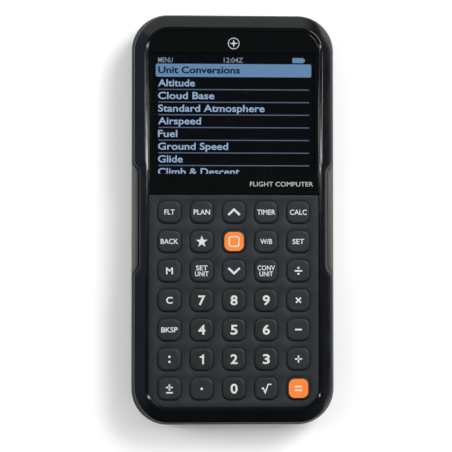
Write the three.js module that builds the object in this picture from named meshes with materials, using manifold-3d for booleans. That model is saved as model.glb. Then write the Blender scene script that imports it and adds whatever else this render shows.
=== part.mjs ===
// Handheld electronic flight computer, lying on its back: +X to the right, +Y towards the
// display end, +Z out of the face. The origin is the middle of the back, on the surface it
// lies on. All sizes are millimetres.
import * as THREE from "three";
import { mergeVertices } from "three/addons/utils/BufferGeometryUtils.js";
import Module from "manifold-3d";

const wasm = await Module();
wasm.setup();

// ---------------------------------------------------------------- driving dimensions

const FACE = { halfWidth: 34.6, halfLength: 76, corner: 8 }; // opening of the front bezel
const END_STRETCH = 1.15; // the bezel is this much wider at the ends than along the sides
const CORNER_STEPS = 8;
const WAIST = { half: 18.8, ramp: 4.5, steps: 3 }; // finger grip halfway along each side

const GAP = 0.15; // between pieces that sit against each other
const FLOOR = 2; // inside of the back shell's back wall
const PARTING = 10.3; // top of the back shell's wall
const LEDGE = { low: 16.9, high: 17.9 }; // bezel ledge that carries window and keypad
const RIM_TOP = 20.3;
const LENS = { low: LEDGE.high + GAP, high: 19.75 };
const MAT = { low: 16.5, skin: LEDGE.high + GAP, high: 19.3 };
const FACE_SPLIT = 9.7; // y where the window ends and the keypad starts

const KEY = { width: 9.3, height: 9.1, corner: 2.9, bottom: 17.45, top: 20.2 };
const KEY_GAP = 0.3; // key to mat, all round
const KEY_ROWS = [
  ["flt", "plan", "up", "timer", "calc"],
  ["back", "star", "select", "weight_balance", "set"],
  ["memory", "set_unit", "down", "conv_unit", "divide"],
  ["clear", "7", "8", "9", "multiply"],
  ["backspace", "4", "5", "6", "minus"],
  ["colon", "1", "2", "3", "plus"],
  ["sign", "point", "0", "root", "equals"],
];
const ORANGE_KEYS = ["select", "equals"];
const COLUMN_PITCH = 13;
const ROW_PITCH = 11.84;
const TOP_ROW_Y = 2.6;

const PANEL = { centreY: 42.55, openWidth: 66, openHeight: 50 }; // 64.8 x 48.6 live area
const KEYPAD_OPENING = { halfWidth: 31.8, low: -74.2, high: 8.1 };

const CELL = { radius: 5.25, length: 44.5, pitch: 11.4, z: 7.7 };
const BAY = { halfWidth: 23.4, low: -65.5, high: -15.5, roof: 13.1, wall: 1.2 };
const DOOR = { halfWidth: 25.2, low: -67.5, high: -13.5, outer: 0.3, inner: 1.85 };
const DOOR_GAP = 0.2;
const TONGUE = { halfWidth: 7, high: -10.5 };
const HINGE_TAB = { x: 15, halfWidth: 3, low: -69.4 };

const SCREW = { x: 29.5, y: 76.2, shank: 1, head: 2.05, seat: 3 };
const MAIN_BOARD = { low: 11.3, high: 12.5 };
const KEY_BOARD = { low: 15.2, high: 16.4 };
const POWER_KEY = { x: -20, halfWidth: 4, low: 12.9, high: 15.1, tip: 83 };
const USB = { x: 12, halfWidth: 3.75, low: 12.55, high: 15.15, mouth: 82.1 };

// ---------------------------------------------------------------- materials

const plastic = (color, roughness) =>
  new THREE.MeshStandardMaterial({ color, roughness, metalness: 0 });
const metal = (color, roughness) =>
  new THREE.MeshStandardMaterial({ color, roughness, metalness: 1 });

const MATERIALS = {
  bezel: plastic(0x14171a, 0.12),
  shell: plastic(0x3a3c3b, 0.6),
  window: plastic(0x0c0d0e, 0.05),
  silicone: plastic(0x33383c, 0.55),
  orange: plastic(0xf57a28, 0.5),
  glass: plastic(0x0a1018, 0.1),
  diffuser: plastic(0xe8e8e4, 0.5),
  board: plastic(0x1f5a35, 0.4),
  ribbon: plastic(0xe6e2d6, 0.4),
  steel: metal(0xb8bcc0, 0.3),
  zinc: metal(0x8f9396, 0.35),
  cell: plastic(0x2b3a55, 0.35),
};

// ---------------------------------------------------------------- solids and booleans

/** A closed three.js geometry as a manifold-3d solid. */
function solid(geometry) {
  const flat = geometry.index ? geometry.toNonIndexed() : geometry;
  const bare = new THREE.BufferGeometry();
  bare.setAttribute("position", flat.getAttribute("position"));
  const merged = mergeVertices(bare, 1e-4);
  return new wasm.Manifold(
    new wasm.Mesh({
      numProp: 3,
      vertProperties: merged.attributes.position.array,
      triVerts: new Uint32Array(merged.index.array),
    }),
  );
}

/** A manifold-3d solid as a three.js geometry. */
function geometryOf(made) {
  const mesh = made.getMesh();
  const geometry = new THREE.BufferGeometry();
  const points = new THREE.BufferAttribute(mesh.vertProperties, mesh.numProp);
  geometry.setAttribute("position", points);
  geometry.setIndex(new THREE.BufferAttribute(mesh.triVerts, 1));
  return geometry;
}

const join = (...solids) => solids.reduce((whole, piece) => whole.add(piece));
const cut = (body, ...tools) => tools.reduce((left, tool) => left.subtract(tool), body);

/** A box between two values on each axis. */
function block([x0, x1], [y0, y1], [z0, z1]) {
  const box = new THREE.BoxGeometry(x1 - x0, y1 - y0, z1 - z0);
  box.translate((x0 + x1) / 2, (y0 + y1) / 2, (z0 + z1) / 2);
  return solid(box);
}

/** An upright round post, or a hole's tool. */
function post(x, y, radius, z0, z1, sides = 16) {
  const round = new THREE.CylinderGeometry(radius, radius, z1 - z0, sides);
  round.rotateX(Math.PI / 2);
  round.translate(x, y, (z0 + z1) / 2);
  return solid(round);
}

/** A plate with rounded corners; corners is the radius, or [lower, upper] radii. */
function plate([x0, x1], [y0, y1], [z0, z1], corners, steps = 2) {
  const [low, high] = Array.isArray(corners) ? corners : [corners, corners];
  const shape = new THREE.Shape();
  shape.absarc(x1 - low, y0 + low, low, -Math.PI / 2, 0);
  shape.absarc(x1 - high, y1 - high, high, 0, Math.PI / 2);
  shape.absarc(x0 + high, y1 - high, high, Math.PI / 2, Math.PI);
  shape.absarc(x0 + low, y0 + low, low, Math.PI, 1.5 * Math.PI);
  const depth = z1 - z0;
  const made = new THREE.ExtrudeGeometry(shape, { depth, bevelEnabled: false, curveSegments: steps });
  return solid(made.translate(0, 0, z0));
}

/** Triangles between rings of equally many points; either a closed tube or capped ends. */
function loft(rings, closed) {
  const count = rings[0].length;
  const triangles = [];
  const spans = closed ? rings.length : rings.length - 1;
  for (let r = 0; r < spans; r++) {
    const lower = rings[r];
    const upper = rings[(r + 1) % rings.length];
    for (let i = 0; i < count; i++) {
      const j = (i + 1) % count;
      triangles.push(lower[i], lower[j], upper[j], lower[i], upper[j], upper[i]);
    }
  }
  if (!closed) {
    for (let i = 1; i < count - 1; i++) {
      const first = rings[0];
      const last = rings[rings.length - 1];
      triangles.push(first[0], first[i + 1], first[i]);
      triangles.push(last[0], last[i], last[i + 1]);
    }
  }
  return solid(new THREE.BufferGeometry().setFromPoints(triangles));
}

// ---------------------------------------------------------------- the case's plan outline

/** y of the stations along a long side, from low to high. */
function sideStations() {
  const ramp = Array.from(
    { length: WAIST.steps + 1 },
    (_, i) => WAIST.half + (WAIST.ramp * i) / WAIST.steps,
  );
  return [...ramp.map((y) => -y).reverse(), ...ramp];
}

/** How much of the waist a station has: 1 in the grip, 0 past its ramps. */
function waistShare(y) {
  return 1 - THREE.MathUtils.smoothstep(Math.abs(y), WAIST.half, WAIST.half + WAIST.ramp);
}

/** One ring of the case. full and waist are [distance outside the face opening, z]. */
function caseRing(full, waist = full) {
  const corner = FACE.corner + full[0];
  const halfX = FACE.halfWidth + full[0];
  const halfY = FACE.halfLength + full[0] * END_STRETCH;
  const points = [];
  const side = (sign) => {
    for (const y of sideStations()) {
      const share = waistShare(y);
      const out = THREE.MathUtils.lerp(full[0], waist[0], share);
      const z = THREE.MathUtils.lerp(full[1], waist[1], share);
      points.push(new THREE.Vector3(sign * (FACE.halfWidth + out), sign * y, z));
    }
  };
  const arc = (signX, signY, start) => {
    for (let i = 0; i <= CORNER_STEPS; i++) {
      const angle = start + (i / CORNER_STEPS) * (Math.PI / 2);
      const x = signX * (halfX - corner) + corner * Math.cos(angle);
      const y = signY * (halfY - corner) + corner * Math.sin(angle);
      points.push(new THREE.Vector3(x, y, full[1]));
    }
  };
  side(1);
  arc(1, 1, 0);
  arc(-1, 1, Math.PI / 2);
  side(-1);
  arc(-1, -1, Math.PI);
  arc(1, -1, 1.5 * Math.PI);
  return points;
}

// ---------------------------------------------------------------- front bezel

const BEZEL_BOTTOM = PARTING + GAP;

/** Rim, sloping front and side wall, as pairs of full and waist section points. */
const BEZEL_SECTION = [
  [[0, LEDGE.low], [0, LEDGE.low]],
  [[2.6, LEDGE.low], [1.5, LEDGE.low]],
  [[4.1, 15.2], [2, 15.2]],
  [[4.1, BEZEL_BOTTOM], [2, BEZEL_BOTTOM]],
  [[5.95, BEZEL_BOTTOM], [3.5, BEZEL_BOTTOM]],
  [[5.8, 16], [3.5, 15.6]],
  [[5.55, 16.55], [3.1, 17.9]],
  [[1.5, 20.05], [0.9, 19.95]],
  [[1.05, RIM_TOP], [0.5, 20.15]],
  [[0.3, 20.2], [0.25, 20.1]],
  [[0, 19.85], [0, 19.85]],
];

const SCREW_CORNERS = [
  [-SCREW.x, SCREW.y],
  [SCREW.x, SCREW.y],
  [-SCREW.x, -SCREW.y],
  [SCREW.x, -SCREW.y],
];

function frontBezel() {
  const frame = loft(BEZEL_SECTION.map(([full, waist]) => caseRing(full, waist)), true);
  const inner = 0.4;
  const ledge = plate(
    [-FACE.halfWidth - inner, FACE.halfWidth + inner],
    [-FACE.halfLength - inner, FACE.halfLength + inner],
    [LEDGE.low, LEDGE.high],
    FACE.corner,
    6,
  );
  const panelOpening = plate(
    [-PANEL.openWidth / 2, PANEL.openWidth / 2],
    [PANEL.centreY - PANEL.openHeight / 2, PANEL.centreY + PANEL.openHeight / 2],
    [LEDGE.low - 1, LEDGE.high + 1],
    0.8,
  );
  const keypadOpening = plate(
    [-KEYPAD_OPENING.halfWidth, KEYPAD_OPENING.halfWidth],
    [KEYPAD_OPENING.low, KEYPAD_OPENING.high],
    [LEDGE.low - 1, LEDGE.high + 1],
    3.5,
  );
  const bosses = SCREW_CORNERS.map(([x, y]) => post(x, y, 2.3, BEZEL_BOTTOM, LEDGE.low + 0.5));
  const pilots = SCREW_CORNERS.map(([x, y]) => post(x, y, 1.2, PARTING, LEDGE.low - 1.2, 10));
  const powerSlot = plate(
    [POWER_KEY.x - POWER_KEY.halfWidth - DOOR_GAP, POWER_KEY.x + POWER_KEY.halfWidth + DOOR_GAP],
    [79, 84],
    [POWER_KEY.low - DOOR_GAP, POWER_KEY.high + DOOR_GAP],
    0.1,
    1,
  );
  const usbSlot = block(
    [USB.x - USB.halfWidth - 0.5, USB.x + USB.halfWidth + 0.5],
    [79, 84],
    [USB.low - 0.3, USB.high + 0.3],
  );
  const plates = cut(ledge, panelOpening, keypadOpening);
  return cut(join(frame, plates, ...bosses), ...pilots, powerSlot, usbSlot);
}

// ---------------------------------------------------------------- back shell

/** Back wall's edge, side, lip and grip, then the inside down to the floor. */
const SHELL_SECTION = [
  [[3.2, 0]],
  [[4.6, 0.5]],
  [[5.7, 1.8]],
  [[6.4, 4]],
  [[6.75, 7]],
  [[6.8, 9.6]],
  [[6.65, 10.1], [6.7, 10.05]],
  [[6.45, PARTING], [6.2, 10.9]],
  [[6.3, PARTING], [4.35, 14.1]],
  [[6.25, PARTING], [4.1, 14.3]],
  [[6.2, PARTING], [3.75, 14.3]],
  [[6.15, PARTING], [3.75, PARTING]],
  [[4.2, PARTING], [1.9, PARTING]],
  [[4.2, 9], [1.9, 9]],
  [[4.2, 7.5], [3.6, 7.5]],
  [[4, 3.4]],
  [[2.6, FLOOR]],
];

/** The battery bay's frame, walls and roof, before it is hollowed. */
function bayBody() {
  const { halfWidth, low, high, roof, wall } = BAY;
  const frame = block([-27, 27], [DOOR.low - 1, DOOR.high + 1], [0.5, 3.2]);
  const walls = block(
    [-halfWidth - wall, halfWidth + wall],
    [low - wall, high + wall],
    [3, roof + 0.8],
  );
  return join(frame, walls);
}

/** What is cut from the shell for the cells, the door, its tongue and its hinge tabs. */
function bayTools() {
  const { halfWidth, low, high, roof } = BAY;
  const hollow = block([-halfWidth, halfWidth], [low, high], [-1, roof]);
  const recess = plate(
    [-DOOR.halfWidth - DOOR_GAP, DOOR.halfWidth + DOOR_GAP],
    [DOOR.low - DOOR_GAP, DOOR.high + DOOR_GAP],
    [-1, DOOR.inner + DOOR_GAP],
    1.6,
  );
  const tongueNotch = plate(
    [-TONGUE.halfWidth - DOOR_GAP, TONGUE.halfWidth + DOOR_GAP],
    [DOOR.high - 1, TONGUE.high + DOOR_GAP],
    [-1, DOOR.inner + DOOR_GAP],
    [0.5, 2],
  );
  const tabSlots = [-1, 1].map((side) =>
    block(
      [side * HINGE_TAB.x - HINGE_TAB.halfWidth - 0.4, side * HINGE_TAB.x + HINGE_TAB.halfWidth + 0.4],
      [HINGE_TAB.low - 0.6, low + 0.1],
      [DOOR.inner + 0.1, 4.2],
    ),
  );
  return [hollow, recess, tongueNotch, ...tabSlots];
}

/** A shallow thumb scoop beside the door's tongue. */
function thumbScoop() {
  const ball = new THREE.SphereGeometry(1, 20, 10);
  ball.scale(8.5, 5.5, 1.1);
  ball.translate(0, TONGUE.high + 1.6, 0);
  return solid(ball);
}

function backShell() {
  const rings = SHELL_SECTION.map(([full, waist]) => caseRing(full, waist ?? full));
  const tub = loft(rings, false);
  const posts = SCREW_CORNERS.map(([x, y]) => post(x, y, 3.4, 1, PARTING - GAP));
  const seats = SCREW_CORNERS.map(([x, y]) => post(x, y, SCREW.head + 0.35, -1, SCREW.seat));
  const holes = SCREW_CORNERS.map(([x, y]) => post(x, y, SCREW.shank + 0.3, 1, PARTING + 1, 10));
  const boardPosts = [18, 66].flatMap((y) =>
    [-31, 31].map((x) => post(x, y, 2.2, 1, MAIN_BOARD.low - GAP, 12)),
  );
  const ribs = [-12, 12].map((x) =>
    block([x - 0.6, x + 0.6], [BAY.low + 4, BAY.high - 4], [BAY.roof, KEY_BOARD.low - GAP]),
  );
  const body = join(tub, bayBody(), ...posts, ...boardPosts, ...ribs);
  return cut(body, ...bayTools(), thumbScoop(), ...seats, ...holes);
}

// ---------------------------------------------------------------- battery door

function batteryDoor() {
  const panel = plate(
    [-DOOR.halfWidth, DOOR.halfWidth],
    [DOOR.low, DOOR.high],
    [DOOR.outer, DOOR.inner],
    1.5,
  );
  const tongue = plate(
    [-TONGUE.halfWidth, TONGUE.halfWidth],
    [DOOR.high - 1.5, TONGUE.high],
    [DOOR.outer, DOOR.inner],
    [0.5, 1.8],
  );
  const tabs = [-1, 1].flatMap((side) => {
    const width = [
      side * HINGE_TAB.x - HINGE_TAB.halfWidth,
      side * HINGE_TAB.x + HINGE_TAB.halfWidth,
    ];
    return [
      block(width, [DOOR.low + 0.2, DOOR.low + 1.7], [DOOR.inner - 0.3, 3.05]),
      block(width, [HINGE_TAB.low, DOOR.low + 1.7], [2.25, 3.05]),
    ];
  });
  return join(panel, tongue, ...tabs);
}

// ---------------------------------------------------------------- window and keypad

const faceEdge = FACE.halfWidth - GAP;

function displayWindow() {
  return plate(
    [-faceEdge, faceEdge],
    [FACE_SPLIT + GAP, FACE.halfLength - GAP],
    [LENS.low, LENS.high],
    [0.6, FACE.corner - GAP],
    6,
  );
}

/** Centre of a key in the grid. */
function keyCentre(row, column) {
  return [(column - 2) * COLUMN_PITCH, TOP_ROW_Y - row * ROW_PITCH];
}

/** A ring of a key, or of its hole in the mat: grow is outwards from the key's own size. */
function keyRing([x, y], grow, z) {
  const halfX = KEY.width / 2 + grow;
  const halfY = KEY.height / 2 + grow;
  const radius = Math.max(KEY.corner + grow, 0.8);
  const points = [];
  for (const [signX, signY, start] of [[1, 1, 0], [-1, 1, 0.5], [-1, -1, 1], [1, -1, 1.5]]) {
    for (let i = 0; i <= 2; i++) {
      const angle = (start + i / 4) * Math.PI;
      points.push(
        new THREE.Vector3(
          x + signX * (halfX - radius) + radius * Math.cos(angle),
          y + signY * (halfY - radius) + radius * Math.sin(angle),
          z,
        ),
      );
    }
  }
  return points;
}

/** One key: a plunger that tapers out to the cap, which narrows to its top. */
function key(centre) {
  return loft(
    [
      keyRing(centre, -1.7, KEY.bottom),
      keyRing(centre, 0, KEY.bottom + 0.6),
      keyRing(centre, 0, 19.6),
      keyRing(centre, -0.4, KEY.top),
    ],
    false,
  );
}

function keypadMat() {
  const skin = plate(
    [-faceEdge, faceEdge],
    [-FACE.halfLength + GAP, FACE_SPLIT - GAP],
    [MAT.skin, MAT.high],
    [FACE.corner - GAP, 0.6],
    6,
  );
  const inside = 0.3;
  const base = plate(
    [-KEYPAD_OPENING.halfWidth + inside, KEYPAD_OPENING.halfWidth - inside],
    [KEYPAD_OPENING.low + inside, KEYPAD_OPENING.high - inside],
    [MAT.low, MAT.skin + 0.1],
    3.2,
  );
  const holes = KEY_ROWS.flatMap((row, r) =>
    row.map((_, c) => {
      const centre = keyCentre(r, c);
      return loft([keyRing(centre, KEY_GAP, MAT.low - 1), keyRing(centre, KEY_GAP, MAT.high + 1)], false);
    }),
  );
  return cut(join(skin, base), ...holes);
}

// ---------------------------------------------------------------- display and boards

function displayPanel() {
  return plate([-34.2, 34.2], [14.65, 69.05], [15.6, 16.75], 0.5, 1);
}

function displayBacklight() {
  const tray = plate([-35.4, 35.4], [13.55, 69.95], [13.2, 15.5], 1, 1);
  const pocket = block([-33.6, 33.6], [16.65, 68.45], [15.2, 16]);
  return cut(tray, pocket);
}

function mainBoard() {
  const wide = block([-34, 34], [13, 73], [MAIN_BOARD.low, MAIN_BOARD.high]);
  const narrow = block([-26.4, 26.4], [72, 79.2], [MAIN_BOARD.low, MAIN_BOARD.high]);
  const processor = block([-8, 8], [34, 50], [MAIN_BOARD.low - 1.4, MAIN_BOARD.low + 0.2]);
  const memory = block([14, 24], [36, 48], [MAIN_BOARD.low - 1.1, MAIN_BOARD.low + 0.2]);
  const powerSwitch = block(
    [POWER_KEY.x - 3, POWER_KEY.x + 3],
    [74.4, 77.8],
    [MAIN_BOARD.high - 0.2, 14.9],
  );
  const plunger = block([POWER_KEY.x - 1.2, POWER_KEY.x + 1.2], [77.5, 78.3], [13.2, 14.6]);
  return join(wide, narrow, processor, memory, powerSwitch, plunger);
}

function keypadBoard() {
  const sheet = plate([-33.4, 33.4], [-71.5, 8.7], [KEY_BOARD.low, KEY_BOARD.high - 0.05], 2);
  const connector = block([-7.5, 7.5], [-1.5, 2.5], [KEY_BOARD.low - 1.1, KEY_BOARD.low + 0.2]);
  return join(sheet, connector);
}

/** Flat cable from the keypad board's connector down to the main board. */
function boardRibbon() {
  const half = 0.13;
  const route = [
    [3, 14.6],
    [8.5, 14.6],
    [11.2, 12.85],
    [17, 12.85],
  ];
  const upper = route.map(([y, z]) => new THREE.Vector2(y, z + half));
  const lower = route.map(([y, z]) => new THREE.Vector2(y, z - half)).reverse();
  const shape = new THREE.Shape([...lower.reverse(), ...upper.reverse()]);
  const strip = new THREE.ExtrudeGeometry(shape, { depth: 12, bevelEnabled: false });
  // The shape's x is the case's Y and its y is the case's Z, so it is turned upright.
  strip.rotateX(Math.PI / 2).rotateZ(Math.PI / 2);
  return solid(strip.translate(-6, 0, 0));
}

function usbSocket() {
  const { x, halfWidth, low, high, mouth } = USB;
  const wall = 0.35;
  const shell = block([x - halfWidth, x + halfWidth], [mouth - 5.2, mouth], [low, high]);
  const cavity = block(
    [x - halfWidth + wall, x + halfWidth - wall],
    [mouth - 4.4, mouth + 1],
    [low + wall, high - wall],
  );
  const middle = (low + high) / 2;
  const blade = block([x - 2, x + 2], [mouth - 4.8, mouth - 1], [middle - 0.3, middle + 0.3]);
  return join(cut(shell, cavity), blade);
}

function powerKey() {
  const { x, halfWidth, low, high, tip } = POWER_KEY;
  const cap = block([x - halfWidth, x + halfWidth], [79, tip - 0.4], [low, high]);
  const crown = block([x - halfWidth + 0.4, x + halfWidth - 0.4], [tip - 0.6, tip], [low + 0.4, high - 0.4]);
  const flange = block([x - halfWidth - 1, x + halfWidth + 1], [79, 80], [low - 0.1, high + 0.4]);
  return join(cap, crown, flange);
}

// ---------------------------------------------------------------- cells, contacts, screws

const CELL_X = [-1.5, -0.5, 0.5, 1.5].map((n) => n * CELL.pitch);
const CELL_END = { low: -62.7, high: -62.7 + CELL.length };

/** A solid turned about the long axis of a cell, from [radius, y] pairs. */
function turned(x, profile, sides) {
  const lathe = new THREE.LatheGeometry(profile.map(([r, y]) => new THREE.Vector2(r, y)), sides);
  return solid(lathe.translate(x, 0, CELL.z));
}

/** An AAA cell; its button end is at the upper end when up is 1, the lower end when -1. */
function cell(x, up) {
  const from = up > 0 ? CELL_END.low : CELL_END.high;
  const at = (distance) => from + up * distance;
  const profile = [
    [0, at(0)],
    [CELL.radius, at(0)],
    [CELL.radius, at(CELL.length - 1.2)],
    [1.9, at(CELL.length - 1.2)],
    [1.9, at(CELL.length)],
    [0, at(CELL.length)],
  ];
  return turned(x, up > 0 ? profile : profile.reverse(), 18);
}

/** A sprung contact: a cone from its plate to the flat end of a cell. */
function springAt(x, plateY, cellY) {
  const away = Math.sign(cellY - plateY);
  const profile = [
    [0, plateY - 0.2 * away],
    [3.4, plateY - 0.2 * away],
    [2.2, cellY - GAP * away],
    [0, cellY - GAP * away],
  ];
  return turned(x, away > 0 ? profile : profile.reverse(), 10);
}

/** A pressed stud that meets a cell's button. */
function studAt(x, plateY, cellY) {
  const away = Math.sign(cellY - plateY);
  const profile = [
    [0, plateY - 0.2 * away],
    [1.6, plateY - 0.2 * away],
    [1.6, cellY - GAP * away],
    [0, cellY - GAP * away],
  ];
  return turned(x, away > 0 ? profile : profile.reverse(), 10);
}

const CONTACT = { halfWidth: 4.2, low: 4.6, high: 11.4, thick: 0.4 };

/** A contact plate on the bay's end wall, with a stud or a spring for each cell it touches. */
function contact(end, touches) {
  const wallY = end > 0 ? BAY.high - GAP : BAY.low + GAP;
  const faceY = wallY - end * CONTACT.thick;
  const cellY = end > 0 ? CELL_END.high : CELL_END.low;
  const places = touches.map(([index]) => CELL_X[index]);
  const strip = block(
    [Math.min(...places) - CONTACT.halfWidth, Math.max(...places) + CONTACT.halfWidth],
    [Math.min(wallY, faceY), Math.max(wallY, faceY)],
    [CONTACT.low, CONTACT.high],
  );
  const tips = touches.map(([index, kind]) =>
    (kind === "spring" ? springAt : studAt)(CELL_X[index], faceY, cellY),
  );
  return join(strip, ...tips);
}

function caseScrew([x, y]) {
  const head = post(x, y, SCREW.head, 1.3, SCREW.seat - GAP, 12);
  const shank = post(x, y, SCREW.shank, SCREW.seat - 0.3, 14.4, 8);
  const drive = post(x, y, 0.9, 0.5, 2.3, 6);
  return cut(join(head, shank), drive);
}

// ---------------------------------------------------------------- the assembly

const computer = new THREE.Group();

function add(name, made, material) {
  const mesh = new THREE.Mesh(geometryOf(made), MATERIALS[material]);
  mesh.name = name;
  computer.add(mesh);
}

add("front_bezel", frontBezel(), "bezel");
add("back_shell", backShell(), "shell");
add("display_window", displayWindow(), "window");
add("keypad_mat", keypadMat(), "silicone");
KEY_ROWS.forEach((row, r) =>
  row.forEach((name, c) => {
    const material = ORANGE_KEYS.includes(name) ? "orange" : "silicone";
    add(`key_${name}`, key(keyCentre(r, c)), material);
  }),
);
add("power_key", powerKey(), "shell");
add("battery_door", batteryDoor(), "shell");
add("display_panel", displayPanel(), "glass");
add("display_backlight", displayBacklight(), "diffuser");
add("main_board", mainBoard(), "board");
add("keypad_board", keypadBoard(), "board");
add("board_ribbon", boardRibbon(), "ribbon");
add("usb_socket", usbSocket(), "steel");
CELL_X.forEach((x, i) => add(`battery_cell_${i + 1}`, cell(x, i % 2 ? -1 : 1), "cell"));
SCREW_CORNERS.forEach((corner, i) => add(`case_screw_${i + 1}`, caseScrew(corner), "zinc"));
add("contact_bridge_left", contact(1, [[0, "stud"], [1, "spring"]]), "steel");
add("contact_bridge_right", contact(1, [[2, "stud"], [3, "spring"]]), "steel");
add("contact_negative", contact(-1, [[0, "spring"]]), "steel");
add("contact_bridge_lower", contact(-1, [[1, "stud"], [2, "spring"]]), "steel");
add("contact_positive", contact(-1, [[3, "stud"]]), "steel");

export default computer;
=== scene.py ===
"""Looks of a handheld electronic flight computer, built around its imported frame.

The computer lies on its back: +X to the right, +Y towards the display end, +Z out of the face.
Sizes in this file are millimetres, and MM turns them to metres where a mesh is made.
"""
import math

import bmesh
import bpy
from mathutils import Matrix, Vector


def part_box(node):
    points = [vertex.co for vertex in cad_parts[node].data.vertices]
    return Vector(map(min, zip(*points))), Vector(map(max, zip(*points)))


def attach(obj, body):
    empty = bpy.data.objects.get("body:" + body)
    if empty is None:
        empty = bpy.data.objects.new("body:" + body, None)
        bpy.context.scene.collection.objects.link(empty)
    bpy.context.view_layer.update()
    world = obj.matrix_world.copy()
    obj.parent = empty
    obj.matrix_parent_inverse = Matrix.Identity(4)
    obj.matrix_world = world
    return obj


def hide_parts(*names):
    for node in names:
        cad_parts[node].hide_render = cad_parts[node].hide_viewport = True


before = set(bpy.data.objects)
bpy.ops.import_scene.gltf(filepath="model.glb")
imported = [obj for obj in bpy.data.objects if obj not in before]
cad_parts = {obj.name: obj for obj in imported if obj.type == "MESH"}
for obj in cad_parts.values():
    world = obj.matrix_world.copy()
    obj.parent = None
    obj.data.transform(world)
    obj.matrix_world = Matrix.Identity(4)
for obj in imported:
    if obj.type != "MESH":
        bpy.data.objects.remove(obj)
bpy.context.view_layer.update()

MM = 0.001
CASE = "case"

# ---------------------------------------------------------------- sizes read from the frame


def node_box(name):
    """Lowest and highest corner of a CAD node, in millimetres."""
    low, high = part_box(name)
    return low / MM, high / MM


def node_middle(name):
    """The x, y and z of a CAD node's middle, in millimetres."""
    return [(low + high) / 2 for low, high in zip(*node_box(name))]


def about(middle, half):
    """The range that reaches half to both sides of a middle."""
    return middle - half, middle + half


window_low, window_high = node_box("display_window")
mat_low, mat_high = node_box("keypad_mat")
door_low, door_high = node_box("battery_door")
key_low, key_high = node_box("key_1")
PANEL_TOP = node_box("display_panel")[1].z
RIM_TOP = node_box("front_bezel")[1].z

FACE_GAP = 0.15  # window and keypad to the rim of the bezel
FACE_HALF_WIDTH = window_high.x + FACE_GAP
FACE_HALF_LENGTH = window_high.y + FACE_GAP
FACE_CORNER = 8
END_STRETCH = 1.15  # the rim is this much wider at the ends than along the sides
WAIST_HALF = 18.8  # finger grips: half their length, and their ramps
WAIST_RAMP = 4.5
WAIST_SQUEEZE = 0.6  # the rim's width in the waist, as a share of its full width
WAIST_LIFT = 1.5  # how much higher the foot of the bezel's slope is in the waist
CREST_OUT = 1.15  # the bezel's slope, outwards from the face opening: its top and its foot
SLOPE_OUT = 5.75
SLOPE_HEIGHT = 16.35
SKIN_DEPTH = 1.1  # what lies this far below the slope isn't lifted with it
PARTING = 10.3  # height of the line between shell and bezel
KEY_NAMES = [
    ["flt", "plan", "up", "timer", "calc"],
    ["back", "star", "select", "weight_balance", "set"],
    ["memory", "set_unit", "down", "conv_unit", "divide"],
    ["clear", "7", "8", "9", "multiply"],
    ["backspace", "4", "5", "6", "minus"],
    ["colon", "1", "2", "3", "plus"],
    ["sign", "point", "0", "root", "equals"],
]
ORANGE_KEYS = ("select", "equals")

# ---------------------------------------------------------------- colours and nodes


def linear(code):
    """A colour written as sRGB hex, as linear red, green, blue and 1."""

    def channel(value):
        return value / 12.92 if value <= 0.04045 else ((value + 0.055) / 1.055) ** 2.4

    return (*(channel(int(code[i : i + 2], 16) / 255) for i in (1, 3, 5)), 1.0)


def add_node(tree, kind, inputs=(), **settings):
    """Adds a node. inputs maps a socket's name or number to its value or to what feeds it."""
    node = tree.nodes.new(kind)
    for name, value in settings.items():
        setattr(node, name, value)
    for key, value in dict(inputs).items():
        if isinstance(value, bpy.types.NodeSocket):
            tree.links.new(value, node.inputs[key])
        else:
            node.inputs[key].default_value = value
    return node


# ---------------------------------------------------------------- materials


def start_material(name, **principled):
    """A material with its Principled node's plain values; returns it, its tree and the node."""
    material = bpy.data.materials.new(name)
    material.use_nodes = True
    tree = material.node_tree
    shader = tree.nodes["Principled BSDF"]
    for socket, value in principled.items():
        shader.inputs[socket.replace("_", " ")].default_value = value
    return material, tree, shader


def grain(tree, size_mm, detail=3.0, roughness=0.5):
    """Noise whose features are about size_mm across, on Object coordinates."""
    place = add_node(tree, "ShaderNodeTexCoord").outputs["Object"]
    return add_node(
        tree,
        "ShaderNodeTexNoise",
        {"Vector": place, "Scale": 1 / (size_mm * MM), "Detail": detail, "Roughness": roughness},
    ).outputs["Fac"]


def spread(tree, value, low, high, start=0.3, end=0.7):
    """Maps a noise value from start..end to low..high."""
    inputs = {"Value": value, "From Min": start, "From Max": end, "To Min": low, "To Max": high}
    return add_node(tree, "ShaderNodeMapRange", inputs).outputs["Result"]


def tint(tree, value, dark, light):
    """Runs between two sRGB colours as value goes from 0 to 1."""
    ramp = add_node(tree, "ShaderNodeValToRGB", {"Fac": value})
    ramp.color_ramp.elements[0].color = linear(dark)
    ramp.color_ramp.elements[1].color = linear(light)
    return ramp.outputs["Color"]


def bump(tree, shader, height, depth_mm, strength=1.0):
    """Feeds a height of 0 to 1, depth_mm deep, to the shader's normal."""
    inputs = {"Height": height, "Distance": depth_mm * MM, "Strength": strength}
    relief = add_node(tree, "ShaderNodeBump", inputs)
    tree.links.new(relief.outputs["Normal"], shader.inputs["Normal"])


def surface(tree, shader, colour, roughness):
    """Feeds the shader's colour and roughness."""
    tree.links.new(colour, shader.inputs["Base Color"])
    tree.links.new(roughness, shader.inputs["Roughness"])


def gloss_abs_black():
    """ABS moulded against a polished steel tool: piano black, sharp reflections, faint
    handling haze that the eye sees as softer patches a few millimetres wide."""
    material, tree, shader = start_material("gloss_abs_black", IOR=1.53)
    haze = grain(tree, 9, detail=4)
    surface(tree, shader, tint(tree, haze, "#080A0D", "#0D1013"), spread(tree, haze, 0.07, 0.15))
    bump(tree, shader, grain(tree, 2.5, detail=1), 0.0012)
    return material


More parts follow.
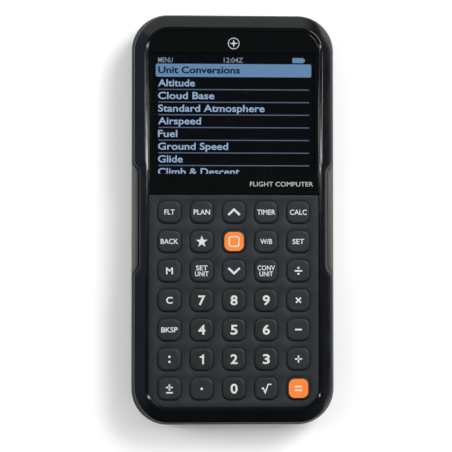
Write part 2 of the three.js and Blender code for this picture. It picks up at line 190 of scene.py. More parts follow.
def textured_abs_grey():
    """ABS moulded against a spark-eroded tool: charcoal grey, matt, with a fine even grain.
    The grain of about 0.1 mm is too fine to show, so it is drawn at 0.35 mm."""
    material, tree, shader = start_material("textured_abs_grey", IOR=1.53)
    fine = grain(tree, 0.35, detail=2)
    broad = grain(tree, 14, detail=3)
    mix = add_node(tree, "ShaderNodeMath", {0: fine, 1: broad}, operation="MULTIPLY").outputs[0]
    colour = tint(tree, spread(tree, mix, 0, 1, 0.1, 0.42), "#3D3F3C", "#4A4C47")
    surface(tree, shader, colour, spread(tree, fine, 0.48, 0.66))
    bump(tree, shader, fine, 0.02)
    return material


def acrylic_black_print():
    """Cast acrylic with black ink screened on its back: deep black under a mirror-flat face,
    with fine wipe marks in the gloss."""
    material, tree, shader = start_material("acrylic_black_print", IOR=1.49)
    wipe = grain(tree, 6, detail=5, roughness=0.6)
    surface(tree, shader, tint(tree, wipe, "#070808", "#0C0D0E"), spread(tree, wipe, 0.03, 0.07))
    return material


def acrylic_clear():
    """The same acrylic where it has no ink: water clear."""
    material, tree, shader = start_material(
        "acrylic_clear", IOR=1.49, Transmission_Weight=1.0, Base_Color=linear("#F4F7F8")
    )
    tree.links.new(spread(tree, grain(tree, 6, detail=4), 0.0, 0.02), shader.inputs["Roughness"])
    return material


def moulded_silicone(name, dark, light, roughness=(0.5, 0.66)):
    """Compression-moulded silicone rubber: soft, matt, faintly mottled, with the fine blasted
    grain of its mould, drawn at 0.4 mm so that it shows."""
    material, tree, shader = start_material(name, IOR=1.41)
    cloudy = grain(tree, 5, detail=4)
    fine = grain(tree, 0.4, detail=2)
    colour = tint(tree, spread(tree, cloudy, 0, 1), dark, light)
    surface(tree, shader, colour, spread(tree, fine, *roughness))
    bump(tree, shader, fine, 0.012)
    return material


def screened_ink(name, thin, full):
    """Screen-printed ink: dense in the middle of a stroke, with a slight mottle where the mesh
    of the screen has let less through."""
    material, tree, shader = start_material(name, IOR=1.5)
    mottle = grain(tree, 0.5, detail=3)
    colour = tint(tree, spread(tree, mottle, 0, 1), thin, full)
    surface(tree, shader, colour, spread(tree, mottle, 0.4, 0.55))
    return material


def lit_crystal(name, colour, strength):
    """Backlit liquid crystal: even coloured light from behind a gloss polariser."""
    material, tree, shader = start_material(
        name, IOR=1.5, Emission_Color=linear(colour), Emission_Strength=strength
    )
    weave = grain(tree, 0.4, detail=1)
    surface(tree, shader, tint(tree, weave, "#040506", "#07090B"), spread(tree, weave, 0.12, 0.2))
    return material


def polariser_black():
    """Switched-off liquid crystal under a polariser film: near black with a blue cast."""
    material, tree, shader = start_material(
        "polariser_black", IOR=1.5, Emission_Color=linear("#0B1016"), Emission_Strength=0.2
    )
    film = grain(tree, 3, detail=2)
    surface(tree, shader, tint(tree, film, "#040506", "#06080A"), spread(tree, film, 0.05, 0.09))
    return material


def plated_steel(name, colour, roughness):
    """Pressed or turned steel with a thin plating: bright metal with a directionless haze."""
    material, tree, shader = start_material(name, Metallic=1.0)
    cloud = grain(tree, 1.2, detail=5)
    darker = "#" + "".join(f"{int(int(colour[i:i + 2], 16) * 0.86):02X}" for i in (1, 3, 5))
    mottled = tint(tree, spread(tree, cloud, 0, 1), darker, colour)
    surface(tree, shader, mottled, spread(tree, cloud, *roughness))
    bump(tree, shader, grain(tree, 0.3, detail=2), 0.004)
    return material


def solder_mask_green():
    """Fibreglass board under green solder mask, with copper tracks that show as slightly raised
    lighter runs about 0.5 mm wide."""
    material, tree, shader = start_material("solder_mask_green", IOR=1.55)
    place = add_node(tree, "ShaderNodeTexCoord").outputs["Object"]
    inputs = {"Vector": place, "Scale": 1 / (3 * MM)}
    cells = add_node(tree, "ShaderNodeTexVoronoi", inputs, distance="CHEBYCHEV")
    track = spread(tree, cells.outputs["Distance"], 1, 0, 0.42, 0.5)
    colour = tint(tree, track, "#0F3B20", "#1F6A38")
    surface(tree, shader, colour, spread(tree, track, 0.25, 0.4, 0, 1))
    bump(tree, shader, track, 0.03)
    return material


def satin_film(name, dark, light, roughness=(0.35, 0.5)):
    """Calendered or moulded film and thin plastic, smooth, with a faint cloudiness."""
    material, tree, shader = start_material(name, IOR=1.52)
    cloud = grain(tree, 4, detail=3)
    colour = tint(tree, spread(tree, cloud, 0, 1), dark, light)
    surface(tree, shader, colour, spread(tree, cloud, *roughness))
    return material


def pale_sheet():
    """Matt white paper sweep under the computer."""
    material, tree, shader = start_material("pale_sheet", IOR=1.45)
    tree.links.new(tint(tree, grain(tree, 60), "#F4F4F4", "#F8F8F8"), shader.inputs["Base Color"])
    shader.inputs["Roughness"].default_value = 0.9
    return material


BEZEL = gloss_abs_black()
SHELL = textured_abs_grey()
PRINT = acrylic_black_print()
CLEAR = acrylic_clear()
SILICONE = moulded_silicone("moulded_silicone_slate", "#1B2023", "#21262A")
SILICONE_DARK = moulded_silicone("moulded_silicone_dark", "#191B1B", "#1F2120")
SILICONE_ORANGE = moulded_silicone("moulded_silicone_orange", "#EC711E", "#F67D28", (0.42, 0.58))
INK = screened_ink("screened_ink_white", "#B4BABC", "#CDD3D4")
INK_GREY = screened_ink("screened_ink_silver", "#9DA0A3", "#B9BCBF")
LIT_TEXT = lit_crystal("lit_crystal_text", "#9DB6D8", 1.0)
LIT_BAR = lit_crystal("lit_crystal_bar", "#6B8EB4", 1.0)
LIT_NAVY = lit_crystal("lit_crystal_navy", "#10233F", 1.0)
LIT_LINE = lit_crystal("lit_crystal_line", "#5A6A82", 1.0)
LIT_STATUS = lit_crystal("lit_crystal_status", "#8E99AE", 1.0)
POLARISER = polariser_black()
NICKEL = plated_steel("nickel_plated_steel", "#C9C6BE", (0.18, 0.34))
ZINC = plated_steel("zinc_plated_steel", "#A9ACAF", (0.28, 0.45))
BOARD = solder_mask_green()
DIFFUSER = satin_film("white_polycarbonate", "#DEDFDB", "#ECECE8")
RIBBON = satin_film("polyester_ribbon", "#CFC8B4", "#E0DAC8")
SLEEVE = satin_film("printed_shrink_sleeve", "#16243F", "#1C2C4A", (0.2, 0.32))
SLEEVE_BAND = satin_film("printed_sleeve_band", "#A8ADB2", "#B8BDC1", (0.25, 0.35))
FLOOR = pale_sheet()

# ---------------------------------------------------------------- making pieces


def new_object(name, mesh):
    """A new object in the scene, of a mesh or a curve."""
    thing = bpy.data.objects.new(name, mesh)
    bpy.context.scene.collection.objects.link(thing)
    return thing


def mesh_from(bm, name):
    """Writes a bmesh, whose sizes are millimetres, to a mesh in metres."""
    bmesh.ops.scale(bm, vec=(MM, MM, MM), verts=bm.verts)
    mesh = bpy.data.meshes.new(name)
    bm.to_mesh(mesh)
    bm.free()
    return mesh


def settle(mesh, sharp_degrees=32):
    """Smooth shading with sharp edges past an angle."""
    mesh.shade_smooth()
    mesh.set_sharp_from_angle(angle=math.radians(sharp_degrees))


def evaluated_mesh(thing, name):
    """The mesh that an object's modifiers or curve make; the object is then removed."""
    bpy.context.view_layer.update()
    graph = bpy.context.evaluated_depsgraph_get()
    mesh = bpy.data.meshes.new_from_object(thing.evaluated_get(graph))
    mesh.name = name
    bpy.data.objects.remove(thing)
    return mesh


def place_piece(name, mesh, body, nodes=(), materials=()):
    """Makes a finished piece that rides on a body and stands for CAD nodes."""
    for material in materials:
        mesh.materials.append(material)
    piece = new_object(name, mesh)
    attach(piece, body)
    if nodes:
        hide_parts(*nodes)


def closed_curve(name, points):
    """A closed flat outline as a curve object. Points are (x, y), in millimetres."""
    curve = bpy.data.curves.new(name, "CURVE")
    curve.dimensions = "2D"
    spline = curve.splines.new("POLY")
    spline.points.add(len(points) - 1)
    for point, (x, y, *_) in zip(spline.points, points):
        point.co = (x * MM, y * MM, 0, 1)
    spline.use_cyclic_u = True
    return new_object(name, curve)


def bevelled(mesh, width, segments, degrees=60):
    """Rounds every edge sharper than an angle."""
    thing = new_object("bevelled", mesh)
    modifier = thing.modifiers.new("edges", "BEVEL")
    modifier.width = width * MM
    modifier.segments = segments
    modifier.limit_method = "ANGLE"
    modifier.angle_limit = math.radians(degrees)
    return evaluated_mesh(thing, mesh.name)


def join_meshes(meshes, name):
    """One mesh of several, keeping their materials. Faces without one take the first."""
    materials, bm = [], bmesh.new()
    for mesh in meshes:
        start = len(bm.faces)
        bm.from_mesh(mesh)
        bm.faces.ensure_lookup_table()
        own = list(mesh.materials)
        for face in bm.faces[start:]:
            material = own[face.material_index] if own else None
            if material and material not in materials:
                materials.append(material)
            face.material_index = materials.index(material) if material else 0
    whole = bpy.data.meshes.new(name)
    bm.to_mesh(whole)
    bm.free()
    for material in materials:
        whole.materials.append(material)
    return whole


def add_ring_faces(bm, lower, upper, material=0):
    """Faces between two rings of as many vertices, both counter-clockwise seen from above."""
    count = len(lower)
    for i in range(count):
        j = (i + 1) % count
        face = bm.faces.new((lower[i], lower[j], upper[j], upper[i]))
        face.material_index = material


def add_loft(bm, rings, closed=False, spans=None, caps=(0, 0)):
    """Lofts rings of points, listed from below to above, and caps both ends unless closed.
    spans and caps are material numbers for the bands and for the lower and upper cap."""
    made = [[bm.verts.new(point) for point in ring] for ring in rings]
    count = len(made) if closed else len(made) - 1
    for i in range(count):
        add_ring_faces(bm, made[i], made[(i + 1) % len(made)], spans[i] if spans else 0)
    if not closed:
        bm.faces.new(list(reversed(made[0]))).material_index = caps[0]
        bm.faces.new(made[-1]).material_index = caps[1]


def rounded_rectangle(x_range, y_range, corners, z, steps=8):
    """A ring of points round a rectangle; corners is a radius, or the lower and upper radii."""
    (x0, x1), (y0, y1) = x_range, y_range
    low, high = corners if isinstance(corners, tuple) else (corners, corners)
    centres = [
        (x1 - low, y0 + low, low, -90),
        (x1 - high, y1 - high, high, 0),
        (x0 + high, y1 - high, high, 90),
        (x0 + low, y0 + low, low, 180),
    ]
    ring = []
    for x, y, radius, start in centres:
        for i in range(steps + 1):
            angle = math.radians(start + 90 * i / steps)
            ring.append((x + radius * math.cos(angle), y + radius * math.sin(angle), z))
    return ring


def inset_ring(x_range, y_range, corners, inset, z, steps=8):
    """The ring of a rounded rectangle, moved inwards."""
    (x0, x1), (y0, y1) = x_range, y_range
    low, high = corners if isinstance(corners, tuple) else (corners, corners)
    kept = (max(low - inset, 0.05), max(high - inset, 0.05))
    return rounded_rectangle((x0 + inset, x1 - inset), (y0 + inset, y1 - inset), kept, z, steps)


def rounded_edge(x_range, y_range, corners, top, edge, steps):
    """The rings of a rounded upper edge, from the side to the flat."""
    rings = []
    for i in range(5):
        angle = math.radians(90 * i / 4)
        inset, z = edge * (1 - math.cos(angle)), top - edge * (1 - math.sin(angle))
        rings.append(inset_ring(x_range, y_range, corners, inset, z, steps))
    return rings


def add_slab(bm, x_range, y_range, z_range, corners, edge=0.3, steps=8):
    """A plate with rounded corners, whose upper edge is rounded off."""
    low, top = z_range
    rings = [rounded_rectangle(x_range, y_range, corners, low, steps)]
    rings += rounded_edge(x_range, y_range, corners, top, edge, steps)
    rings.append(inset_ring(x_range, y_range, corners, edge * 1.8, top, steps))
    add_loft(bm, rings)


def circle(centre, radius, z, sides=40):
    """A ring of points, counter-clockwise seen from above."""
    x, y = centre
    turns = [2 * math.pi * i / sides for i in range(sides)]
    return [(x + radius * math.cos(a), y + radius * math.sin(a), z) for a in turns]


def add_cylinder(bm, centre, radius, z_range, sides=32):
    """An upright cylinder."""
    add_loft(bm, [circle(centre, radius, z, sides) for z in z_range])


def add_block(bm, x_range, y_range, z_range):
    """A plain box, for cutters and hidden walls."""
    (x0, x1), (y0, y1) = x_range, y_range
    corners = [(x0, y0), (x1, y0), (x1, y1), (x0, y1)]
    add_loft(bm, [[(x, y, z) for x, y in corners] for z in z_range])


def combine(mesh, makers, operation, name):
    """Cuts from or joins to a mesh the solid that each maker adds to a bmesh, in turn."""
    for maker in makers:
        tool_bm = bmesh.new()
        maker(tool_bm)
        tool = new_object("tool", mesh_from(tool_bm, "tool"))
        body = new_object("body", mesh)
        modifier = body.modifiers.new(operation, "BOOLEAN")
        modifier.operation = operation
        modifier.solver = "EXACT"
        modifier.object = tool
        mesh = evaluated_mesh(body, name)
        bpy.data.objects.remove(tool)
    return mesh


# ---------------------------------------------------------------- geometry node trees


def start_tree(name, **sockets):
    """A geometry node tree with named inputs; returns the tree and its input node's outputs.
    An input is given as its first value, or as the kind of thing it takes."""
    kinds = {int: "Int", float: "Float", tuple: "Vector"}
    tree = bpy.data.node_groups.new(name, "GeometryNodeTree")
    for label, value in sockets.items():
        kind = kinds.get(type(value), value)
        socket = tree.interface.new_socket(label, in_out="INPUT", socket_type=f"NodeSocket{kind}")
        if kind != value:
            socket.default_value = value
    tree.interface.new_socket("Geometry", in_out="OUTPUT", socket_type="NodeSocketGeometry")
    return tree, add_node(tree, "NodeGroupInput").outputs


def geometry(tree, kind, mode=None, output=0, **inputs):
    """Adds a geometry node and returns one of its outputs. An underscore in the name of an
    input is a space."""
    named = {name.replace("_", " "): value for name, value in inputs.items()}
    settings = {"mode": mode} if mode else {}
    return add_node(tree, f"GeometryNode{kind}", named, **settings).outputs[output]


def vector(tree, **parts):
    """A vector of X, Y and Z, each of them nought where it isn't given."""
    return add_node(tree, "ShaderNodeCombineXYZ", parts).outputs[0]


def rounded_outline(tree, width, height, corner, count):
    """A rectangle with rounded corners, as a curve."""
    box = geometry(tree, "CurvePrimitiveQuadrilateral", Width=width, Height=height)
    return geometry(tree, "FilletCurve", "POLY", Curve=box, Radius=corner, Count=count)


def swept(tree, path, section, **inputs):
    """A section swept along a path."""
    return geometry(tree, "CurveToMesh", Curve=path, Profile_Curve=section, **inputs)


def closed_below(tree, raised, sheet):
    """Closes a body that was extruded from a sheet, with that sheet turned over."""
    both = add_node(tree, "GeometryNodeJoinGeometry", {0: raised})
    tree.links.new(geometry(tree, "FlipFaces", Mesh=sheet), both.inputs[0])
    return geometry(tree, "MergeByDistance", Geometry=both.outputs[0], Distance=1e-6)


def end_tree(tree, geometry_in, *paints):
    """Ends a tree with Realize Instances and Set Material. Each paint is a material's socket,
    or that with the selection of faces it goes on."""
    painted = geometry(tree, "RealizeInstances", Geometry=geometry_in)
    for material, *selection in paints:
        chosen = {"Selection": selection[0]} if selection else {}
        painted = geometry(tree, "SetMaterial", Geometry=painted, Material=material, **chosen)
    add_node(tree, "NodeGroupOutput", {0: painted})


def grow(tree, name, **values):
    """The mesh that a geometry node tree makes with these inputs."""
    holder = new_object(name, bpy.data.meshes.new(name))
    modifier = holder.modifiers.new(name, "NODES")
    modifier.node_group = tree
    for item in tree.interface.items_tree:
        if item.item_type == "SOCKET" and item.in_out == "INPUT" and item.name in values:
            modifier[item.identifier] = values[item.name]
    return evaluated_mesh(holder, name)


def math_node(tree, operation, first, second=0.0, third=0.0):
    """A sum on one, two or three values; returns what comes out."""
    inputs = {0: first, 1: second, 2: third}
    return add_node(tree, "ShaderNodeMath", inputs, operation=operation).outputs[0]


# ---------------------------------------------------------------- front bezel


def rounded_section(corners, steps=5):
    """Rounds the corners of a section; each corner is (outwards, z, radius)."""
    points = []
    count = len(corners)
    for i, (x, z, radius) in enumerate(corners):
        here = Vector((x, z))
        back = Vector(corners[i - 1][:2]) - here
        ahead = Vector(corners[(i + 1) % count][:2]) - here
        if radius == 0:
            points.append((x, z))
            continue
        turn = back.angle(ahead)
        reach = min(radius / math.tan(turn / 2), 0.49 * back.length, 0.49 * ahead.length)
        start = here + back.normalized() * reach
        end = here + ahead.normalized() * reach
        for j in range(steps + 1):
            t = j / steps
            bent = start * (1 - t) ** 2 + here * (2 * t * (1 - t)) + end * t**2
            points.append((bent.x, bent.y))
    return points


def swept_rim_tree():
    """Sweeps a section round the face opening, then narrows it in the waist and widens it at
    the ends."""
    tree, given = start_tree(
        "swept_rim",
        Section="Object",
        Width=0.07,
        Length=0.15,
        Corner=0.008,
        Step=0.0007,
        Waist_Half=WAIST_HALF * MM,
        Waist_Ramp=WAIST_RAMP * MM,
        Waist_Squeeze=WAIST_SQUEEZE,
        Waist_Lift=WAIST_LIFT * MM,
        Crest_Out=CREST_OUT * MM,
        Slope_Out=SLOPE_OUT * MM,
        Crest_Height=RIM_TOP * MM,
        Slope_Height=SLOPE_HEIGHT * MM,
        Skin_Depth=SKIN_DEPTH * MM,
        End_Stretch=END_STRETCH,
        Material="Material",
    )
    path = rounded_outline(tree, given["Width"], given["Length"], given["Corner"], 24)
    path = geometry(tree, "ResampleCurve", "LENGTH", Curve=path, Length=given["Step"])
    section = geometry(tree, "ObjectInfo", output="Geometry", Object=given["Section"])
    rim = swept(tree, path, section)

    place = geometry(tree, "InputPosition")
    axes = add_node(tree, "ShaderNodeSeparateXYZ", {0: place}).outputs
    across = math_node(tree, "ABSOLUTE", axes["X"])
    along = math_node(tree, "ABSOLUTE", axes["Y"])
    past_side = math_node(tree, "MULTIPLY_ADD", given["Width"], -0.5, across)
    past_side = math_node(tree, "MAXIMUM", past_side, 0.0)
    past_end = math_node(tree, "MULTIPLY_ADD", given["Length"], -0.5, along)
    past_end = math_node(tree, "MAXIMUM", past_end, 0.0)
    ramp_end = math_node(tree, "ADD", given["Waist_Half"], given["Waist_Ramp"])
    squeeze = add_node(
        tree,
        "ShaderNodeMapRange",
        {
            "Value": along,
            "From Min": given["Waist_Half"],
            "From Max": ramp_end,
            "To Min": given["Waist_Squeeze"],
            "To Max": 1.0,
        },
        interpolation_type="SMOOTHSTEP",
    ).outputs["Result"]
    less = math_node(tree, "SUBTRACT", squeeze, 1.0)
    shift_x = math_node(tree, "MULTIPLY", past_side, less)
    shift_x = math_node(tree, "MULTIPLY", shift_x, math_node(tree, "SIGN", axes["X"]))
    more = math_node(tree, "SUBTRACT", given["End_Stretch"], 1.0)
    shift_y = math_node(tree, "MULTIPLY", past_end, more)
    shift_y = math_node(tree, "MULTIPLY", shift_y, math_node(tree, "SIGN", axes["Y"]))

    # In the waist the slope is lifted to stay as flat as along the rest of the side. Only the
    # outer skin takes part: what lies near the line from the crest to the foot of the slope.
    down_slope = add_node(
        tree,
        "ShaderNodeMapRange",
        {"Value": past_side, "From Min": given["Crest_Out"], "From Max": given["Slope_Out"]},
    ).outputs["Result"]
    drop = math_node(tree, "SUBTRACT", given["Crest_Height"], given["Slope_Height"])
    drop = math_node(tree, "MULTIPLY", down_slope, drop)
    skin = math_node(tree, "SUBTRACT", given["Crest_Height"], drop)
    skin_low = math_node(tree, "SUBTRACT", skin, given["Skin_Depth"])
    on_skin = math_node(tree, "GREATER_THAN", axes["Z"], skin_low)
    full_squeeze = math_node(tree, "SUBTRACT", given["Waist_Squeeze"], 1.0)
    waist_share = math_node(tree, "DIVIDE", less, full_squeeze)
    lift = math_node(tree, "MULTIPLY", given["Waist_Lift"], waist_share)
    lift = math_node(tree, "MULTIPLY", lift, math_node(tree, "MULTIPLY", down_slope, on_skin))
    shift = vector(tree, X=shift_x, Y=shift_y, Z=lift)
    shaped = geometry(tree, "SetPosition", Geometry=rim, Offset=shift)
    end_tree(tree, shaped, (given["Material"],))
    return tree


# Corners of the bezel's section, (outwards, height, radius), from the inner edge of the ledge,
# over the rim, down the slope and the side wall, and back up the inside.
BEZEL_CORNERS = [
    (-2.2, 16.9, 0),
    (-2.2, 17.9, 0),
    (0, 17.9, 0),
    (0, 19.95, 0.15),
    (0.45, 20.05, 0.25),
    (CREST_OUT, RIM_TOP, 0.5),
    (SLOPE_OUT, SLOPE_HEIGHT, 0.9),
    (5.95, PARTING + 0.15, 0.35),
    (4.1, PARTING + 0.15, 0),
    (4.1, 15.2, 0),
    (2.6, 16.9, 0),
]
PORT_CUT_Y = (79, 84)  # from inside the rim to past its outer face


def front_bezel():
    """The gloss rim round the face, with openings for the socket and the power key."""
    # The sweep turns a section's x outwards and its y down.
    outline = [(out, -z) for out, z in rounded_section(BEZEL_CORNERS)]
    section = closed_curve("bezel_section", outline)
    mesh = grow(
        swept_rim_tree(),
        "front_bezel_rim",
        Section=section,
        Width=2 * FACE_HALF_WIDTH * MM,
        Length=2 * FACE_HALF_LENGTH * MM,
        Corner=FACE_CORNER * MM,
        Material=BEZEL,
    )
    bpy.data.objects.remove(section)

    def slot_for(node, wider, below, above):
        low, high = node_box(node)
        x_range, z_range = (low.x - wider, high.x + wider), (low.z - below, high.z + above)
        return lambda bm: add_block(bm, x_range, PORT_CUT_Y, z_range)

    slots = [slot_for("usb_socket", 0.5, 0.3, 0.3), slot_for("power_key", -0.8, 0.1, -0.2)]
    mesh = combine(mesh, slots, "DIFFERENCE", "front_bezel_rim")
    settle(mesh, 28)
    place_piece("bezel", mesh, CASE, ["front_bezel"])


# ---------------------------------------------------------------- back shell


def smoothstep(value, low, high):
    """Eases from 0 at low to 1 at high."""
    share = min(max((value - low) / (high - low), 0), 1)
    return share * share * (3 - 2 * share)


def case_ring(full, waist, corner_steps=20, ramp_steps=10):
    """A ring round the case. full and waist are (outwards from the face opening, height)."""
    out = full[0]
    corner = FACE_CORNER + out
    half_x = FACE_HALF_WIDTH + out
    half_y = FACE_HALF_LENGTH + out * END_STRETCH
    ramp = [WAIST_HALF + WAIST_RAMP * i / ramp_steps for i in range(ramp_steps + 1)]
    stations = [-y for y in reversed(ramp)] + [0] + ramp
    ring = []
    for turn in (1, -1):
        for y in stations:
            share = 1 - smoothstep(abs(y), WAIST_HALF, WAIST_HALF + WAIST_RAMP)
            x = FACE_HALF_WIDTH + full[0] + (waist[0] - full[0]) * share
            ring.append((turn * x, turn * y, full[1] + (waist[1] - full[1]) * share))
        for quarter in (0, 1):
            x_sign = turn if quarter == 0 else -turn
            for i in range(corner_steps + 1):
                angle = math.radians(90 * (quarter + i / corner_steps))
                x = x_sign * (half_x - corner) + turn * corner * math.cos(angle)
                y = turn * (half_y - corner) + turn * corner * math.sin(angle)
                ring.append((x, y, full[1]))
    return ring


# Sections of the shell, outside first: (outwards, height) along the case and in the waist.
SHELL_FOOT = [(3.2, 0), (4.1, 0.1), (4.85, 0.5), (5.45, 1.2), (5.95, 2.3), (6.3, 3.7), (6.55, 5.3)]
SHELL_SIDE = [(6.72, 7.1), (6.8, 8.6), (6.8, 9.4), (6.74, 9.8)]
SHELL_LIP = [
    ((6.62, 10.1), (6.72, 10.1)),
    ((6.5, 10.25), (6.56, 10.9)),
    ((6.42, PARTING), (6.3, 11.9)),
    ((6.34, PARTING), (5.75, 13.1)),
    ((6.28, PARTING), (5.1, 13.95)),
    ((6.24, PARTING), (4.75, 14.2)),
    ((6.2, PARTING), (4.15, 14.25)),
    ((6.17, PARTING), (3.9, 13.9)),
    ((6.15, PARTING), (3.8, PARTING)),
    ((4.2, PARTING), (1.9, PARTING)),
    ((4.2, 9), (1.9, 9)),
    ((4.2, 7.5), (3.6, 7.5)),
]
SHELL_INSIDE = [(4, 3.4), (2.6, 2)]

BAY_X = 23.4
BAY_Y = (-65.5, -15.5)
BAY_ROOF = 13.1
BAY_WALL = 1.2
ROOF_THICK = 0.8
DOOR_GAP = 0.2
TONGUE_X = 7
TONGUE_TOP = door_high.y
DOOR_Y = (-67.5, -13.5)
DOOR_X = door_high.x
DOOR_Z = (door_low.z, 1.85)
DOOR_FRAME_X = (-27, 27)
TAB_X = 15
TAB_HALF = 3
SCREW_POST_RADIUS = 3.4
SCREW_SEAT_RADIUS = 2.4
SCREW_HOLE_RADIUS = 1.3
SCREW_PLACES = [(x, y) for y in (76.2, -76.2) for x in (-29.5, 29.5)]


def back_shell():
    """The grey tub: its walls, the battery bay, the door's recesses and the screw posts."""
    bm = bmesh.new()
    plain = [(point, point) for point in SHELL_FOOT + SHELL_SIDE]
    inside = [(point, point) for point in SHELL_INSIDE]
    add_loft(bm, [case_ring(*pair) for pair in plain + SHELL_LIP + inside])
    mesh = mesh_from(bm, "back_shell_tub")

    def bay_walls(bm):
        y_range = (BAY_Y[0] - BAY_WALL, BAY_Y[1] + BAY_WALL)
        add_block(bm, about(0, BAY_X + BAY_WALL), y_range, (1, BAY_ROOF + ROOF_THICK))

    def door_frame(bm):
        add_block(bm, DOOR_FRAME_X, (DOOR_Y[0] - 1, DOOR_Y[1] + 1), (0.5, 3.2))

    def screw_post(place):
        return lambda bm: add_cylinder(bm, place, SCREW_POST_RADIUS, (1, PARTING - 0.15), 40)

    def bay_hollow(bm):
        add_block(bm, about(0, BAY_X), BAY_Y, (-1, BAY_ROOF))

    def door_recess(bm):
        x_range = about(0, DOOR_X + DOOR_GAP)
        y_range = (DOOR_Y[0] - DOOR_GAP, DOOR_Y[1] + DOOR_GAP)
        z_range = (-1, DOOR_Z[1] + DOOR_GAP)
        add_loft(bm, [rounded_rectangle(x_range, y_range, 1.6, z) for z in z_range])

    def tongue_recess(bm):
        x_range = about(0, TONGUE_X + DOOR_GAP)
        y_range = (DOOR_Y[1] - 1, TONGUE_TOP + DOOR_GAP)
        z_range = (-1, DOOR_Z[1] + DOOR_GAP)
        add_loft(bm, [rounded_rectangle(x_range, y_range, (0.5, 2), z) for z in z_range])

    def tab_slot(side):
        x_range = about(side * TAB_X, TAB_HALF + 0.4)
        return lambda bm: add_block(bm, x_range, (door_low.y - 0.6, BAY_Y[0] + 0.1), (1.95, 4.2))

    def thumb_scoop(bm):
        bmesh.ops.create_uvsphere(bm, u_segments=48, v_segments=24, radius=1)
        bmesh.ops.scale(bm, vec=(8.5, 5.5, 1.1), verts=bm.verts)
        bmesh.ops.translate(bm, vec=(0, TONGUE_TOP + 1.6, 0), verts=bm.verts)

    def screw_seat(place):
        profile = ((SCREW_SEAT_RADIUS + 0.35, -0.05), (SCREW_SEAT_RADIUS, 0.3), (SCREW_SEAT_RADIUS, 3))
        return lambda bm: add_loft(bm, [circle(place, radius, z) for radius, z in profile])

    def screw_hole(place):
        return lambda bm: add_cylinder(bm, place, SCREW_HOLE_RADIUS, (1, PARTING + 1), 24)

    joined = [door_frame, bay_walls, *map(screw_post, SCREW_PLACES)]
    cuts = [bay_hollow, door_recess, tongue_recess, tab_slot(-1), tab_slot(1), thumb_scoop]
    cuts += [*map(screw_seat, SCREW_PLACES), *map(screw_hole, SCREW_PLACES)]
    mesh = combine(mesh, joined, "UNION", "back_shell_tub")
    mesh = combine(mesh, cuts, "DIFFERENCE", "back_shell_tub")
    settle(mesh)
    place_piece("shell", mesh, CASE, ["back_shell"], [SHELL])


# ---------------------------------------------------------------- battery door


def ridge_row_tree():
    """A row of round-topped ridges for a finger to push against."""
    tree, given = start_tree(
        "ridge_row",
        Count=5,
        Spacing=0.0012,
        Length=0.009,
        Radius=0.0004,
        Start=(0, 0, 0),
        Material="Material",
    )
    row = geometry(
        tree,
        "MeshLine",
        Count=given["Count"],
        Start_Location=given["Start"],
        Offset=vector(tree, Y=given["Spacing"]),
    )
    half = math_node(tree, "MULTIPLY", given["Length"], 0.5)
    start = vector(tree, X=math_node(tree, "MULTIPLY", half, -1.0))
    spine = geometry(tree, "CurvePrimitiveLine", Start=start, End=vector(tree, X=half))
    section = geometry(tree, "CurvePrimitiveCircle", Resolution=12, Radius=given["Radius"])
    ridge = swept(tree, spine, section, Fill_Caps=True)
    ridges = geometry(tree, "InstanceOnPoints", Points=row, Instance=ridge)
    end_tree(tree, ridges, (given["Material"],))
    return tree


def battery_door():
    """The lid, face down: built upside down from its inner side, then turned over."""
    bm = bmesh.new()
    inner, outer = -DOOR_Z[1], -DOOR_Z[0]
    add_slab(bm, about(0, DOOR_X), DOOR_Y, (inner, outer), 1.5, edge=0.35)
    for vert in bm.verts:
        vert.co.z *= -1
    bmesh.ops.reverse_faces(bm, faces=bm.faces)
    mesh = mesh_from(bm, "battery_door_lid")

    def tongue(bm):
        x_range, y_range = about(0, TONGUE_X), (DOOR_Y[1] - 1.5, TONGUE_TOP)
        add_loft(bm, [rounded_rectangle(x_range, y_range, (0.5, 1.8), z) for z in DOOR_Z])

    def tab_block(side, near_y, low):
        x_range = about(side * TAB_X, TAB_HALF)
        return lambda bm: add_block(bm, x_range, (near_y, DOOR_Y[0] + 1.7), (low, door_high.z))

    tabs = [tab_block(side, door_low.y, 2.25) for side in (-1, 1)]
    roots = [tab_block(side, DOOR_Y[0] + 0.2, 1.5) for side in (-1, 1)]
    parts = [tongue, *tabs, *roots]
    mesh = combine(mesh, parts, "UNION", "battery_door_lid")
    ridges = grow(
        ridge_row_tree(),
        "door_ridges",
        Count=6,
        Spacing=1.3 * MM,
        Length=11 * MM,
        Radius=0.42 * MM,
        Start=Vector((0, TONGUE_TOP - 10.5, 0.5)) * MM,
        Material=SHELL,
    )
    mesh = join_meshes([ridges, mesh], "battery_door_lid")
    settle(mesh)
    place_piece("door", mesh, "battery_door", ["battery_door"])


# ---------------------------------------------------------------- display window and screen

INK_THICK = 0.04  # lettering and lit layers stand this proud, in all
LAYER_GAP = 0.03  # between the panel and the middle of the lit layers
SCREEN_X = 32.4  # half the live width of a 3.2 inch quarter-VGA panel
SCREEN_Y = (18.25, 66.85)
CLEAR_MARGIN = 0.35


